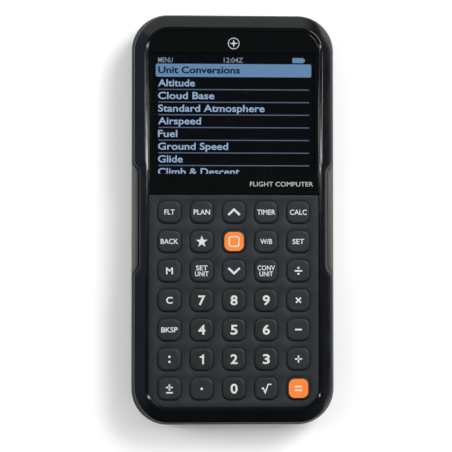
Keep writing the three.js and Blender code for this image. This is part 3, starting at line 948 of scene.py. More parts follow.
def display_window():
    """Black-printed lens, clear over the live area of the panel."""
    x_range, y_range = (window_low.x, window_high.x), (window_low.y, window_high.y)
    corners = (0.6, FACE_CORNER - FACE_GAP)
    clear_x = about(0, SCREEN_X + CLEAR_MARGIN)
    clear_y = (SCREEN_Y[0] - CLEAR_MARGIN, SCREEN_Y[1] + CLEAR_MARGIN)
    low, top = window_low.z, window_high.z
    rings = [
        rounded_rectangle(clear_x, clear_y, 0.5, low, 16),
        inset_ring(x_range, y_range, corners, 0, low, 16),
        *rounded_edge(x_range, y_range, corners, top, 0.22, 16),
        inset_ring(x_range, y_range, corners, 0.5, top, 16),
        rounded_rectangle(clear_x, clear_y, 0.5, top, 16),
    ]
    bm = bmesh.new()
    add_loft(bm, rings, caps=(1, 1))
    mesh = mesh_from(bm, "window_lens")
    settle(mesh)
    place_piece("lens", mesh, CASE, ["display_window"], [PRINT, CLEAR])


def text_mesh(text, bold):
    """Lettering in the built-in font, as a mesh. bold moves its outline outwards."""
    curve = bpy.data.curves.new("lettering", "FONT")
    curve.body = text
    curve.offset = bold
    curve.extrude = 0.5
    curve.resolution_u = 4
    return evaluated_mesh(new_object("lettering", curve), "lettering")


def extent(mesh):
    """Lowest and highest x and y of a mesh."""
    xs = [v.co.x for v in mesh.vertices]
    ys = [v.co.y for v in mesh.vertices]
    return min(xs), max(xs), min(ys), max(ys)


def add_text(bm, text, left, base, cap, z, width, bold=0.0, material=0):
    """Thin raised lettering. left and base are where it starts, cap is the height of a capital,
    and width is what the line is fitted to."""
    capital = text_mesh("H", bold)
    _, _, low, high = extent(capital)
    mesh = text_mesh(text, bold)
    x0, x1, _, _ = extent(mesh)
    tall = cap / (high - low)
    wide = width / (x1 - x0)
    place = Matrix.Translation((left - x0 * wide, base - low * tall, z))
    mesh.transform(place @ Matrix.Diagonal((wide, tall, INK_THICK, 1)))
    start = len(bm.faces)
    bm.from_mesh(mesh)
    bm.faces.ensure_lookup_table()
    for face in bm.faces[start:]:
        face.material_index = material
    bpy.data.meshes.remove(mesh)
    bpy.data.meshes.remove(capital)


def add_centred_text(bm, text, centre, cap, z, width, bold, material):
    """A line of lettering about its middle."""
    x, y = centre
    add_text(bm, text, x - width / 2, y - cap / 2, cap, z, width, bold, material)


def add_flat_shape(bm, points, z, material=0):
    """A thin raised shape with this outline, counter-clockwise; only x and y are used."""
    half = INK_THICK / 2
    rings = [[(x, y, level) for x, y, *_ in points] for level in (z - half, z + half)]
    add_loft(bm, rings, spans=[material], caps=(material, material))


def bar_points(centre, width, height, radius=0.08):
    """The outline of a bar with rounded corners."""
    x, y = centre
    return rounded_rectangle(about(x, width / 2), about(y, height / 2), radius, 0, 4)


MENU_LINES = [
    ("Unit Conversions", 33.2),
    ("Altitude", 14.9),
    ("Cloud Base", 22.8),
    ("Standard Atmosphere", 43.2),
    ("Airspeed", 17.4),
    ("Fuel", 7.8),
    ("Ground Speed", 28.4),
    ("Glide", 10.0),
    ("Climb & Descent", 33.0),
]
MENU_LEFT = -30.65
MENU_FIRST_BASE = 7.9  # below the top of the screen
MENU_PITCH = 5.145
MENU_CAP = 2.85
MENU_BAR = (4.0, 9.3)  # top and foot of the bar that marks the first line, below the screen's top
MENU_WIDTH = 63.2
STATUS_BASE = 3.45  # below the top of the screen
STATUS_CAP = 2.0
TEXT, BAR, DARK_TEXT, RULE, STATUS = range(5)  # materials of the lit layers


def screen_image():
    """The menu, as thin lit layers on the panel."""
    top = SCREEN_Y[1]
    z = PANEL_TOP + LAYER_GAP
    bm = bmesh.new()
    bar_high, bar_low = (top - drop for drop in MENU_BAR)
    bar = bar_points((0, (bar_low + bar_high) / 2), MENU_WIDTH, bar_high - bar_low, 0.7)
    add_flat_shape(bm, bar, z, BAR)
    for row, (label, width) in enumerate(MENU_LINES):
        base = top - MENU_FIRST_BASE - row * MENU_PITCH
        if row == 0:
            add_text(bm, label, MENU_LEFT, base, MENU_CAP, z + INK_THICK, width, 0.03, DARK_TEXT)
            continue
        base -= 0.15
        add_text(bm, label, MENU_LEFT, base, MENU_CAP, z, width, 0.016, TEXT)
        if row < len(MENU_LINES) - 1:
            rule = bar_points((0.1, base - 1.25), MENU_WIDTH - 2, 0.4, 0.05)
            add_flat_shape(bm, rule, z - 0.01, RULE)
    status = top - STATUS_BASE
    add_text(bm, "MENU", MENU_LEFT, status, STATUS_CAP, z, 5.9, 0.004, STATUS)
    add_text(bm, "12:04Z", -4.0, status, STATUS_CAP, z, 7.8, 0.004, STATUS)
    battery_y = status + STATUS_CAP / 2
    add_flat_shape(bm, bar_points((26.2, battery_y), 4.6, 2.1, 0.25), z, BAR)
    add_flat_shape(bm, bar_points((28.75, battery_y), 0.5, 1.1, 0.15), z, BAR)
    whole = bm.verts[:] + bm.edges[:] + bm.faces[:]
    cut = bmesh.ops.bisect_plane(
        bm, geom=whole, plane_co=(0, SCREEN_Y[0], 0), plane_no=(0, -1, 0), clear_outer=True
    )
    open_edges = [e for e in cut["geom_cut"] if isinstance(e, bmesh.types.BMEdge)]
    bmesh.ops.holes_fill(bm, edges=open_edges)
    mesh = mesh_from(bm, "menu_layers")
    materials = [LIT_TEXT, LIT_BAR, LIT_NAVY, LIT_LINE, LIT_STATUS]
    place_piece("screen_menu", mesh, CASE, (), materials)


COMPASS_CENTRE = (-0.1, 70.9)
COMPASS_RING = (2.35, 2.05)  # outer and inner radius
COMPASS_POINTS = (1.75, 0.5)  # reach of the star's points, and of the notches between them


def star_points(centre, reaches, count):
    """The outline of a star with its first point up; reaches are of its points and notches."""
    x, y = centre
    outline = []
    for i in range(2 * count):
        angle = math.radians(90 + 180 * i / count)
        reach = reaches[i % 2]
        outline.append((x + reach * math.cos(angle), y + reach * math.sin(angle)))
    return outline


def window_print():
    """Lettering on the lens, and a plain compass star in a ring above the screen."""
    z = window_high.z
    bm = bmesh.new()
    add_text(bm, "FLIGHT COMPUTER", 6.5, 13.05, 1.8, z, 25.5)
    outer, inner = COMPASS_RING
    low, high = about(z, INK_THICK / 2)
    section = ((outer, low), (outer, high), (inner, high), (inner, low))
    add_loft(bm, [circle(COMPASS_CENTRE, *corner) for corner in section], closed=True)
    add_flat_shape(bm, star_points(COMPASS_CENTRE, COMPASS_POINTS, 4), z)
    mesh = mesh_from(bm, "lens_lettering")
    place_piece("lens_print", mesh, CASE, (), [INK_GREY])


# ---------------------------------------------------------------- keypad


def pierced_sheet_tree():
    """A sheet of any outline with a grid of rounded square openings."""
    tree, given = start_tree(
        "pierced_sheet",
        Outline="Object",
        Columns=5,
        Rows=7,
        Column_Pitch=0.013,
        Row_Pitch=0.012,
        Grid_Centre=(0, 0, 0),
        Hole_Width=0.0099,
        Hole_Height=0.0097,
        Hole_Corner=0.0032,
        Low=0.0,
        Thickness=0.001,
        Material="Material",
    )
    spans = {}
    for axis, count, pitch in (("X", "Columns", "Column_Pitch"), ("Y", "Rows", "Row_Pitch")):
        steps = math_node(tree, "SUBTRACT", given[count], 1.0)
        spans[f"Size_{axis}"] = math_node(tree, "MULTIPLY", steps, given[pitch])
        spans[f"Vertices_{axis}"] = given[count]
    grid = geometry(tree, "MeshGrid", **spans)
    grid = geometry(tree, "Transform", Geometry=grid, Translation=given["Grid_Centre"])
    hole_sizes = [given[label] for label in ("Hole_Width", "Hole_Height", "Hole_Corner")]
    hole = rounded_outline(tree, *hole_sizes, 8)
    holes = geometry(tree, "InstanceOnPoints", Points=grid, Instance=hole)
    holes = geometry(tree, "RealizeInstances", Geometry=holes)
    outline = geometry(tree, "ObjectInfo", output="Geometry", Object=given["Outline"])
    lines = add_node(tree, "GeometryNodeJoinGeometry", {0: outline})
    tree.links.new(holes, lines.inputs[0])
    sheet = geometry(tree, "FillCurve", "TRIANGLES", Curve=lines.outputs[0])
    rise = vector(tree, Z=given["Thickness"])
    extrusion = {"Mesh": sheet, "Offset": rise, "Offset_Scale": 1.0, "Individual": False}
    raised = geometry(tree, "ExtrudeMesh", "FACES", **extrusion)
    whole = closed_below(tree, raised, sheet)
    lift = vector(tree, Z=given["Low"])
    whole = geometry(tree, "Transform", Geometry=whole, Translation=lift)
    end_tree(tree, whole, (given["Material"],))
    return tree


KEY_WIDTH = key_high.x - key_low.x
KEY_HEIGHT = key_high.y - key_low.y
KEY_CORNER = 2.9
KEY_GAP = 0.3
MAT_BASE_X = (-31.5, 31.5)  # the mat's lower part, inside the bezel's opening
MAT_BASE_Y = (-73.1, 8.7)


def keypad_mat():
    """The silicone sheet: a skin over the whole keypad, on a lower part inside the bezel."""
    first, last = node_middle("key_flt"), node_middle("key_equals")
    tree = pierced_sheet_tree()
    shared = {
        "Column_Pitch": (last[0] - first[0]) / 4 * MM,
        "Row_Pitch": (first[1] - last[1]) / 6 * MM,
        "Grid_Centre": Vector((first[0] + last[0], first[1] + last[1], 0)) / 2 * MM,
        "Hole_Width": (KEY_WIDTH + 2 * KEY_GAP) * MM,
        "Hole_Height": (KEY_HEIGHT + 2 * KEY_GAP) * MM,
        "Hole_Corner": (KEY_CORNER + KEY_GAP) * MM,
        "Material": SILICONE,
    }
    skin_low = window_low.z
    skin = closed_curve(
        "mat_skin_outline",
        rounded_rectangle(
            (mat_low.x, mat_high.x), (mat_low.y, mat_high.y), (FACE_CORNER - FACE_GAP, 0.6), 0, 16
        ),
    )
    base = closed_curve("mat_base_outline", rounded_rectangle(MAT_BASE_X, MAT_BASE_Y, 3.2, 0, 6))
    parts = []
    for outline, low, high in ((skin, skin_low, mat_high.z), (base, mat_low.z, skin_low)):
        sizes = {"Outline": outline, "Low": low * MM, "Thickness": (high - low) * MM}
        parts.append(grow(tree, "mat_part", **shared, **sizes))
        bpy.data.objects.remove(outline)
    parts[0] = bevelled(parts[0], 0.1, 2)
    mesh = join_meshes(parts, "keypad_mat_sheet")
    settle(mesh, 40)
    place_piece("keypad_sheet", mesh, CASE, ["keypad_mat"])


# A key's side, from its foot to its crown: (inwards from the full outline, below the top).
KEY_PROFILE = [
    (1.7, 2.75),
    (-0.22, 2.15),
    (-0.22, 1.12),
    (-0.16, 0.98),
    (0.02, 0.84),
    (0.1, 0.66),
    (0.14, 0.5),
    (0.24, 0.32),
    (0.42, 0.16),
    (0.62, 0.06),
    (0.78, 0.015),
    (0.84, 0),
    (1.2, 0),
]
CROWN_DEPTH = 0.012  # the crown's own colour starts this far below the top


def key_cap_tree():
    """A key: its outline is filled, then extruded and scaled step by step up its profile."""
    tree, given = start_tree(
        "key_cap",
        Width=0.0093,
        Height=0.0091,
        Corner=0.0029,
        Centre=(0, 0, 0),
        Skirt="Material",
        Crown="Material",
    )
    outline = rounded_outline(tree, given["Width"], given["Height"], given["Corner"], 10)
    flat = geometry(tree, "FillCurve", "NGONS", Curve=outline)

    def share(inset):
        """The size of a ring, as a share of the full outline."""
        less = math_node(tree, "SUBTRACT", given["Width"], 2 * inset * MM)
        return math_node(tree, "DIVIDE", less, given["Width"])

    before = KEY_PROFILE[0]
    scale = vector(tree, X=share(before[0]), Y=share(before[0]), Z=1.0)
    drop = (0, 0, -before[1] * MM)
    foot = geometry(tree, "Transform", Geometry=flat, Scale=scale, Translation=drop)
    grown, top = foot, {}
    for inset, depth in KEY_PROFILE[1:]:
        inputs = {"Mesh": grown, "Offset": (0, 0, 1), "Individual": False, **top}
        inputs["Offset Scale"] = (before[1] - depth) * MM
        step = add_node(tree, "GeometryNodeExtrudeMesh", inputs, mode="FACES").outputs
        top = {"Selection": step["Top"]}
        ratio = math_node(tree, "DIVIDE", share(inset), share(before[0]))
        grown = geometry(tree, "ScaleElements", Geometry=step["Mesh"], Scale=ratio, **top)
        before = (inset, depth)
    whole = closed_below(tree, grown, foot)
    place = geometry(tree, "InputPosition")
    height = add_node(tree, "ShaderNodeSeparateXYZ", {0: place}).outputs["Z"]
    inputs = {
        "Geometry": whole,
        "Name": "crown",
        "Value": math_node(tree, "GREATER_THAN", height, -CROWN_DEPTH * MM),
    }
    kept = {"data_type": "BOOLEAN", "domain": "FACE"}
    marked = add_node(tree, "GeometryNodeStoreNamedAttribute", inputs, **kept).outputs[0]
    placed = geometry(tree, "Transform", Geometry=marked, Translation=given["Centre"])
    inputs = {"Name": "crown"}
    chosen = add_node(
        tree, "GeometryNodeInputNamedAttribute", inputs, data_type="BOOLEAN"
    ).outputs[0]
    end_tree(tree, placed, (given["Skirt"],), (given["Crown"], chosen))
    return tree


WORDS = {  # legend, width of its letters
    "flt": [("FLT", 4.15)],
    "plan": [("PLAN", 6.6)],
    "timer": [("TIMER", 7.4)],
    "calc": [("CALC", 6.9)],
    "back": [("BACK", 7.1)],
    "weight_balance": [("W/B", 4.8)],
    "set": [("SET", 4.7)],
    "set_unit": [("SET", 4.7), ("UNIT", 5.5)],
    "conv_unit": [("CONV", 7.0), ("UNIT", 5.5)],
    "backspace": [("BKSP", 6.6)],
}
BIG_LETTERS = {"memory": ("M", 2.75), "clear": ("C", 2.65)}
DIGITS = "1234567890"
WORD_CAP = 2.05
WORD_BOLD = 0.014
LINE_SPACING = 2.4
BIG_LETTER_CAP = 2.7
DIGIT_CAP = 3.9
DIGIT_WIDTH = 2.85
BIG_BOLD = 0.022
LEGEND_MATERIAL = 2  # the legend's place among a key's materials

# The figure one, as an outline about its middle, because the built-in font's is a bare bar.
FIGURE_ONE = [(0.15, -1.95), (0.9, -1.95), (0.9, 1.95), (0.4, 1.95), (0.12, 1.5), (-0.3, 1.22)]
FIGURE_ONE += [(-0.85, 1.12), (-0.85, 0.6), (0.15, 0.6)]


def add_stroke(bm, points, width, z, material):
    """A line of even width through some points, with square ends and mitred corners."""
    left, right = [], []
    for i, point in enumerate(points):
        here = Vector(point)
        back = (here - Vector(points[i - 1])).normalized() if i else None
        ahead = (Vector(points[i + 1]) - here).normalized() if i + 1 < len(points) else None
        along = ((back or ahead) + (ahead or back)).normalized()
        normal = Vector((-along.y, along.x))
        cosine = along.dot(ahead or back)
        reach = width / 2 / cosine
        left.append(here + normal * reach)
        right.append(here - normal * reach)
    shape = right + list(reversed(left))
    add_flat_shape(bm, [(p.x, p.y) for p in shape], z, material)


# Signs of bars (x, y, width, height) and dots (x, y, radius), about the key's middle.
SIGNS = {
    "divide": [(0, 0, 3.1, 0.62), (0, 1.2, 0.43), (0, -1.2, 0.43)],
    "minus": [(0, 0, 2.7, 0.68)],
    "plus": [(0, 0, 2.9, 0.56), (0, 0, 0.56, 2.9)],
    "colon": [(0, 1.0, 0.48), (0, -1.0, 0.48)],
    "sign": [(0, 0.55, 2.7, 0.6), (0, 0.55, 0.6, 2.5), (0, -1.55, 2.7, 0.6)],
    "point": [(0, 0, 0.5)],
    "equals": [(0, 0.75, 2.9, 0.62), (0, -0.75, 2.9, 0.62)],
}
# Signs of lines: their width, and the points of each line.
STROKES = {
    "up": (0.85, [[(-2.3, -1.15), (0, 1.05), (2.3, -1.15)]]),
    "down": (0.85, [[(-2.3, 1.15), (0, -1.05), (2.3, 1.15)]]),
    "multiply": (0.6, [[(-1.02, -1.02), (1.02, 1.02)], [(-1.02, 1.02), (1.02, -1.02)]]),
    "root": (0.5, [[(-1.9, -0.1), (-1.25, 0.25), (-0.45, -1.6), (0.75, 1.7), (2.1, 1.7)]]),
}


def add_legend(bm, name, centre, z):
    """A key's sign, word, letter or figure."""
    x, y = centre
    ink = LEGEND_MATERIAL
    if name == "star":
        add_flat_shape(bm, star_points((x, y - 0.1), (2.5, 1.0), 5), z, ink)
    elif name == "select":
        sides = about(x, 2.2), about(y, 2.2)
        low, high = about(z, INK_THICK / 2)
        section = ((0, low), (0, high), (0.5, high), (0.5, low))
        rings = [inset_ring(*sides, 1.15, inset, level, 6) for inset, level in section]
        add_loft(bm, rings, closed=True, spans=[ink] * 4)
    elif name in STROKES:
        width, lines = STROKES[name]
        for i, line in enumerate(lines):
            # Where two lines cross, the second stands a little higher.
            add_stroke(bm, [(x + dx, y + dy) for dx, dy in line], width, z + 0.001 * i, ink)
    elif name in SIGNS:
        for dx, dy, *size in SIGNS[name]:
            middle = (x + dx, y + dy)
            is_dot = len(size) == 1
            shape = circle(middle, size[0], 0, 20) if is_dot else bar_points(middle, *size)
            add_flat_shape(bm, shape, z, ink)
    elif name in WORDS:
        lines = WORDS[name]
        cap = WORD_CAP if len(lines) == 1 else WORD_CAP * 0.95
        for i, (word, width) in enumerate(lines):
            shift = ((len(lines) - 1) / 2 - i) * LINE_SPACING
            add_centred_text(bm, word, (x, y + shift), cap, z, width, WORD_BOLD, ink)
    elif name == "1":
        add_flat_shape(bm, [(x + dx, y + dy) for dx, dy in FIGURE_ONE], z, ink)
    elif name in BIG_LETTERS:
        letter, width = BIG_LETTERS[name]
        add_centred_text(bm, letter, centre, BIG_LETTER_CAP, z, width, BIG_BOLD, ink)
    else:
        add_centred_text(bm, name, centre, DIGIT_CAP, z, DIGIT_WIDTH, BIG_BOLD, ink)


def keys():
    """The 35 keys, each with its legend: a dark crown under the figures, orange on two."""
    tree = key_cap_tree()
    for name in (name for row in KEY_NAMES for name in row):
        crown = SILICONE
        if name in ORANGE_KEYS:
            crown = SILICONE_ORANGE
        elif name in DIGITS:
            crown = SILICONE_DARK
        x, y, _ = node_middle(f"key_{name}")
        cap = grow(
            tree,
            f"keycap_{name}",
            Width=KEY_WIDTH * MM,
            Height=KEY_HEIGHT * MM,
            Corner=KEY_CORNER * MM,
            Centre=Vector((x, y, key_high.z)) * MM,
            Skirt=SILICONE,
            Crown=crown,
        )
        bm = bmesh.new()
        add_legend(bm, name, (x, y), key_high.z + 0.005)
        legend = mesh_from(bm, f"legend_{name}")
        for material in (SILICONE, crown, INK):
            legend.materials.append(material)
        settle(cap, 50)
        mesh = join_meshes([cap, legend], f"keycap_{name}")
        place_piece(f"keycap_{name}", mesh, f"key_{name}", [f"key_{name}"])


# ---------------------------------------------------------------- pieces in the display end

POWER_HEIGHT = 14.0  # the middle of the power key above the desk
POWER_FLANGE = 1  # how far its foot reaches past its sides, behind the rim


def power_key():
    """Small key in the display end: built facing up, then laid over to face along Y."""
    low, high = node_box("power_key")
    half_x = (high.x - low.x) / 2 - POWER_FLANGE
    middle = Vector((node_middle("power_key")[0], 0, POWER_HEIGHT))
    foot = PORT_CUT_Y[0]
    bm = bmesh.new()
    add_slab(bm, about(0, half_x), about(0, 1.1), (foot, high.y), 1.0, edge=0.4, steps=6)
    add_slab(bm, about(0, half_x + POWER_FLANGE), (-1.5, 1.2), (foot, foot + 1), 0.4, edge=0.1, steps=3)
    lay_over = Matrix(((1, 0, 0, 0), (0, 0, 1, 0), (0, -1, 0, 0), (0, 0, 0, 1)))
    bmesh.ops.transform(bm, matrix=Matrix.Translation(middle) @ lay_over, verts=bm.verts)
    mesh = mesh_from(bm, "power_key_cap")
    settle(mesh)
    place_piece("power_button", mesh, "power_key", ["power_key"], [SHELL])


def usb_socket():
    """Drawn steel shell with one bevelled long side, and the contact blade inside."""
    low, high = node_box("usb_socket")
    x, _, z = node_middle("usb_socket")
    half_x, half_z = (high.x - low.x) / 2, (high.z - low.z) / 2
    wall, bevel = 0.3, 0.75

    def ring(inset, y):
        side, foot = half_x - inset, half_x - bevel - inset * 0.6
        top, knee, sole = half_z - inset, -half_z + bevel, -half_z + inset
        points = [(side, top), (side, knee), (foot, sole), (-foot, sole), (-side, knee), (-side, top)]
        return [(x + dx, y, z + dz) for dx, dz in points]

    bm = bmesh.new()
    floor_y = high.y - 4.4
    outside = [ring(0, y) for y in (low.y, high.y - 0.3, high.y)]
    add_loft(bm, [*outside, ring(wall, high.y), ring(wall, floor_y)])
    add_block(bm, about(x, 2), (floor_y + 0.1, high.y - 1), about(z, 0.3))
    bmesh.ops.recalc_face_normals(bm, faces=bm.faces)
    mesh = mesh_from(bm, "usb_shell")
    mesh = bevelled(mesh, 0.06, 2, 40)
    settle(mesh)
    place_piece("usb_port", mesh, CASE, ["usb_socket"], [NICKEL])


# ---------------------------------------------------------------- cells, contacts and screws


def add_turned(bm, profile, x, z, sides=40, spans=None, caps=(0, 0)):
    """A solid turned about an axis along Y; profile is (radius, y) from low to high y."""
    turns = [2 * math.pi * i / sides for i in range(sides)]
    rings = [
        [(x + radius * math.sin(a), y, z + radius * math.cos(a)) for a in turns]
        for radius, y in profile
    ]
    add_loft(bm, rings, spans=spans, caps=caps)


# An AAA cell from its flat end: (radius, distance, material of the band up to the next point).
CELL_PROFILE = [
    (2.6, 0.25, 2),
    (3.0, 0.0, 2),
    (3.9, 0.0, 2),
    (4.5, 0.35, 0),
    (5.05, 0.4, 0),
    (5.2, 0.6, 0),
    (5.25, 1.0, 0),
    (5.25, 12.0, 1),
    (5.25, 13.2, 0),
    (5.25, 42.3, 0),
    (5.15, 42.75, 0),
    (4.8, 43.0, 0),
    (4.3, 43.0, 2),
    (4.1, 42.85, 2),
    (2.4, 43.2, 2),
    (1.95, 43.35, 2),
    (1.9, 44.2, 2),
    (1.6, 44.5, 2),
]


def battery_cells():
    """Cells 1 and 3 have their button towards the display, 2 and 4 the other way."""
    for number in range(1, 5):
        name = f"battery_cell_{number}"
        low, high = node_box(name)
        x, _, z = node_middle(name)
        if number % 2:
            profile = [(radius, low.y + along) for radius, along, _ in CELL_PROFILE]
            spans = [material for _, _, material in CELL_PROFILE[:-1]]
        else:
            profile = [(radius, high.y - along) for radius, along, _ in reversed(CELL_PROFILE)]
            spans = [material for _, _, material in reversed(CELL_PROFILE[:-1])]
        bm = bmesh.new()
        add_turned(bm, profile, x, z, 48, spans, (2, 2))
        mesh = mesh_from(bm, f"cell_{number}_can")
        settle(mesh, 40)
        materials = [SLEEVE, SLEEVE_BAND, NICKEL]
        place_piece(f"cell_{number}", mesh, CASE, [name], materials)


def coil_spring_tree():
    """A conical spring of round wire, wound up from its centre along Z, then turned."""
    tree, given = start_tree(
        "coil_spring",
        Turns=3.0,
        Base_Radius=0.0032,
        Tip_Radius=0.002,
        Height=0.002,
        Wire=0.0002,
        Centre=(0, 0, 0),
        Turned=(0, 0, 0),
        Material="Material",
    )
    spiral = geometry(
        tree,
        "CurveSpiral",
        Resolution=28,
        Rotations=given["Turns"],
        Start_Radius=given["Base_Radius"],
        End_Radius=given["Tip_Radius"],
        Height=given["Height"],
    )
    wire = geometry(tree, "CurvePrimitiveCircle", Resolution=10, Radius=given["Wire"])
    coil = swept(tree, spiral, wire, Fill_Caps=True)
    place = {"Translation": given["Centre"], "Rotation": given["Turned"]}
    placed = geometry(tree, "Transform", Geometry=coil, **place)
    end_tree(tree, placed, (given["Material"],))
    return tree


# The contacts: end of the bay (1 upper, -1 lower), and the cells each one touches.
CONTACTS = {
    "bridge_left": (1, ((1, "stud"), (2, "spring"))),
    "bridge_right": (1, ((3, "stud"), (4, "spring"))),
    "negative": (-1, ((1, "spring"),)),
    "bridge_lower": (-1, ((2, "stud"), (3, "spring"))),
    "positive": (-1, ((4, "stud"),)),
}
STRIP_THICK = 0.4
SPRING_WIRE = 0.22  # radius
CONTACT_GAP = 0.15  # between a contact and its cell


def battery_contacts():
    """Pressed strips on the bay's end walls, with a coil spring or a stud for each cell."""
    tree = coil_spring_tree()
    for name, (end, touches) in CONTACTS.items():
        low, high = node_box(f"contact_{name}")
        wall = high.y if end > 0 else low.y
        face = wall - end * STRIP_THICK
        bm = bmesh.new()
        plate = rounded_rectangle((-high.x, -low.x), (low.z, high.z), 0.9, 0, 5)
        add_loft(bm, [[(-u, y, v) for u, v, _ in plate] for y in sorted((wall, face))])
        parts = []
        for number, kind in touches:
            cell_low, cell_high = node_box(f"battery_cell_{number}")
            x, _, z = node_middle(f"battery_cell_{number}")
            tip = (cell_high.y if end > 0 else cell_low.y) + end * CONTACT_GAP
            if kind == "stud":
                profile = [(1.9, face), (1.7, (face + tip) / 2), (1.45, tip + end * 0.2), (1.1, tip)]
                add_turned(bm, profile if end < 0 else profile[::-1], x, z, 24)
                continue
            spring = grow(
                tree,
                "spring",
                Turns=3.25,
                Height=(abs(tip - face) - SPRING_WIRE) * MM,
                Wire=SPRING_WIRE * MM,
                Centre=Vector((x, face, z)) * MM,
                Turned=(math.radians(90 * end), 0.0, 0.0),
                Material=NICKEL,
            )
            parts.append(spring)
        strip = mesh_from(bm, "strip")
        strip.materials.append(NICKEL)
        mesh = join_meshes([strip, *parts], f"contact_{name}_pressing")
        settle(mesh, 40)
        place_piece(f"pressing_{name}", mesh, CASE, [f"contact_{name}"])


# A screw's head and neck, (radius, height), and its thread.
SCREW_PROFILE = [(1.3, 1.3), (1.75, 1.42), (1.98, 1.7), (2.05, 2.1), (2.05, 2.85), (1.0, 2.85)]
THREAD = (3.3, 13.6)  # from where to where it runs up the shank
THREAD_STEP = 0.4
THREAD_RADII = (0.78, 1.0)
CROSS_RECESS = ((1.05, 0.24, 1.0), (0.75, 0.16, 2.45))  # half length, half width and height


def case_screws():
    """Pan head screws for plastic, head down, with a cross recess and a coarse thread."""
    bm = bmesh.new()
    rings = [circle((0, 0), radius, z, 32) for radius, z in SCREW_PROFILE]
    half_turns = math.ceil((THREAD[1] - THREAD[0]) / (THREAD_STEP / 2))
    for i in range(half_turns):
        rings.append(circle((0, 0), THREAD_RADII[i % 2], THREAD[0] + i * THREAD_STEP / 2, 32))
    rings += [circle((0, 0), 0.7, 13.8, 32), circle((0, 0), 0.25, 14.4, 32)]
    add_loft(bm, rings)
    mesh = mesh_from(bm, "case_screw_turned")

    def slot(along_x):
        def maker(bm):
            rings = []
            for long, wide, z in CROSS_RECESS:
                x, y = (long, wide) if along_x else (wide, long)
                rings.append([(-x, -y, z), (x, -y, z), (x, y, z), (-x, y, z)])
            add_loft(bm, rings)

        return maker

    mesh = combine(mesh, [slot(True), slot(False)], "DIFFERENCE", "case_screw_turned")
    settle(mesh, 30)
    mesh.materials.clear()
    for number in range(1, 5):
        name = f"case_screw_{number}"
        x, y, _ = node_middle(name)
        copy = mesh.copy()
        place = Matrix.Translation(Vector((x, y, 0)) * MM)
        copy.transform(place @ Matrix.Rotation(math.radians(23 + 31 * number), 4, "Z"))
        place_piece(f"screw_{number}", copy, CASE, [name], [ZINC])
    bpy.data.meshes.remove(mesh)


# ---------------------------------------------------------------- inner nodes kept as they are


def finish_inner_nodes():
    """Circuit boards and other inner pieces keep their CAD shape and take their finish."""
    finishes = {
        "display_panel": POLARISER,
        "display_backlight": DIFFUSER,
        "main_board": BOARD,
        "keypad_board": BOARD,
        "board_ribbon": RIBBON,
    }
    for name, material in finishes.items():
        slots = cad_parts[name].data.materials
        slots.clear()
        slots.append(material)


# ---------------------------------------------------------------- camera, lights and floor

CAMERA_LENS = 128
CAMERA_AIM = (-3.15, -2.95, 18)
CAMERA_TILT = (-2.7, -1.5)  # degrees off straight above, towards +X and +Y
CAMERA_DISTANCE = 650
SOFTBOXES = [  # name, place and size in metres, power in watts
    ("key_light", (0.75, 0.7, 0.9), (0.6, 0.6), 13),
    ("left_fill", (-1.1, 0.35, 0.5), (0.5, 0.9), 4),
    ("right_strip", (0.62, 0.12, 0.62), (0.05, 0.75), 1.6),
    ("left_strip", (-0.62, 0.12, 0.62), (0.05, 0.75), 1.6),
]


def studio():
    """The camera over the face, a matt white sheet, and soft lights at both sides."""
    camera_data = bpy.data.cameras.new("camera")
    camera_data.lens = CAMERA_LENS
    camera = new_object("camera", camera_data)
    away = Vector((*(math.tan(math.radians(tilt)) for tilt in CAMERA_TILT), 1)).normalized()
    camera.location = (Vector(CAMERA_AIM) + away * CAMERA_DISTANCE) * MM
    right = Vector((0, 1, 0)).cross(away).normalized()
    up = away.cross(right)
    camera.rotation_euler = Matrix((right, up, away)).transposed().to_euler()
    bpy.context.scene.camera = camera

    bm = bmesh.new()
    add_block(bm, about(0, 3000), about(0, 3000), (-20, 0))
    floor = new_object("floor", mesh_from(bm, "floor"))
    floor.data.materials.append(FLOOR)

    for name, position, size, power in SOFTBOXES:
        light_data = bpy.data.lights.new(name, "AREA")
        light_data.shape = "RECTANGLE"
        light_data.size, light_data.size_y = size
        light_data.energy = power
        light = new_object(name, light_data)
        light.location = position
        light.rotation_euler = (-Vector(position)).to_track_quat("-Z", "Y").to_euler()
        light.visible_glossy = name != "left_fill"  # the gloss doesn't mirror the fill

    bpy.context.scene.world = studio_world()
    bpy.context.scene.view_settings.view_transform = "Standard"


# What gloss reflects, from the near end round to the display end: bearing and colour.
WALL_COLOURS = [
    (0.0, (0.015, 0.015, 0.015, 1)),
    (0.1, (0.02, 0.022, 0.025, 1)),
    (0.3, (0.15, 0.18, 0.24, 1)),
    (0.83, (0.19, 0.25, 0.33, 1)),
    (0.85, (0.58, 0.6, 0.58, 1)),
    (1.0, (0.64, 0.66, 0.64, 1)),
]


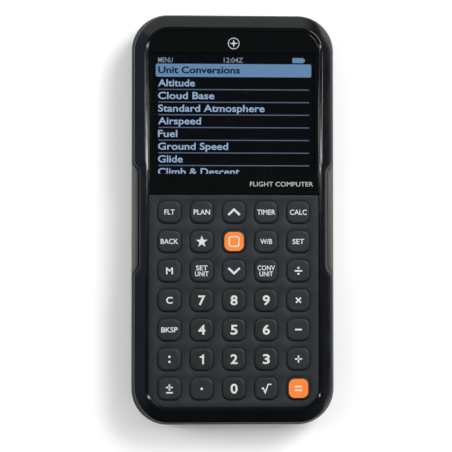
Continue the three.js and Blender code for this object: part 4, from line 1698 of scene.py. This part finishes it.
def studio_world():
    """Pale all round where it is seen and as fill light. What gloss reflects is darker: a lit
    wall past the display end, blue-grey at the sides, and dark overhead and at the near end."""
    world = bpy.data.worlds.new("studio")
    world.use_nodes = True
    tree = world.node_tree

    def ramp(value, start, end, **settings):
        inputs = {"Value": value, "From Min": start, "From Max": end}
        return add_node(tree, "ShaderNodeMapRange", inputs, **settings).outputs["Result"]

    def mix(factor, first, second):
        inputs = {"Factor": factor, 6: first, 7: second}
        return add_node(tree, "ShaderNodeMix", inputs, data_type="RGBA").outputs[2]

    place = add_node(tree, "ShaderNodeTexCoord").outputs["Generated"]
    axes = add_node(tree, "ShaderNodeSeparateXYZ", {0: place}).outputs
    flat = math_node(tree, "MULTIPLY", axes["Y"], axes["Y"])
    flat = math_node(tree, "MULTIPLY_ADD", axes["X"], axes["X"], flat)
    length = math_node(tree, "MAXIMUM", math_node(tree, "SQRT", flat), 0.001)
    bearing = math_node(tree, "DIVIDE", axes["Y"], length)
    bearing = math_node(tree, "MULTIPLY_ADD", bearing, 0.5, 0.5)
    walls = add_node(tree, "ShaderNodeValToRGB", {"Fac": bearing})
    elements = walls.color_ramp.elements
    for i, (position, colour) in enumerate(WALL_COLOURS):
        element = elements[i] if i < 2 else elements.new(position)
        element.position, element.color = position, colour
    colour = mix(ramp(axes["X"], 0.2, 0.6), walls.outputs["Color"], (0.08, 0.085, 0.11, 1))
    overhead = ramp(axes["Z"], 0.62, 0.8, interpolation_type="SMOOTHSTEP")
    colour = mix(overhead, colour, (0.03, 0.032, 0.034, 1))
    path = add_node(tree, "ShaderNodeLightPath").outputs
    for ray, level in (("Is Diffuse Ray", 0.55), ("Is Camera Ray", 0.97)):
        colour = mix(path[ray], colour, (level, level, level, 1))
    tree.links.new(colour, tree.nodes["Background"].inputs["Color"])
    return world


# ---------------------------------------------------------------- the whole computer

front_bezel()
back_shell()
battery_door()
display_window()
screen_image()
window_print()
keypad_mat()
keys()
power_key()
usb_socket()
battery_cells()
battery_contacts()
case_screws()
finish_inner_nodes()
studio()
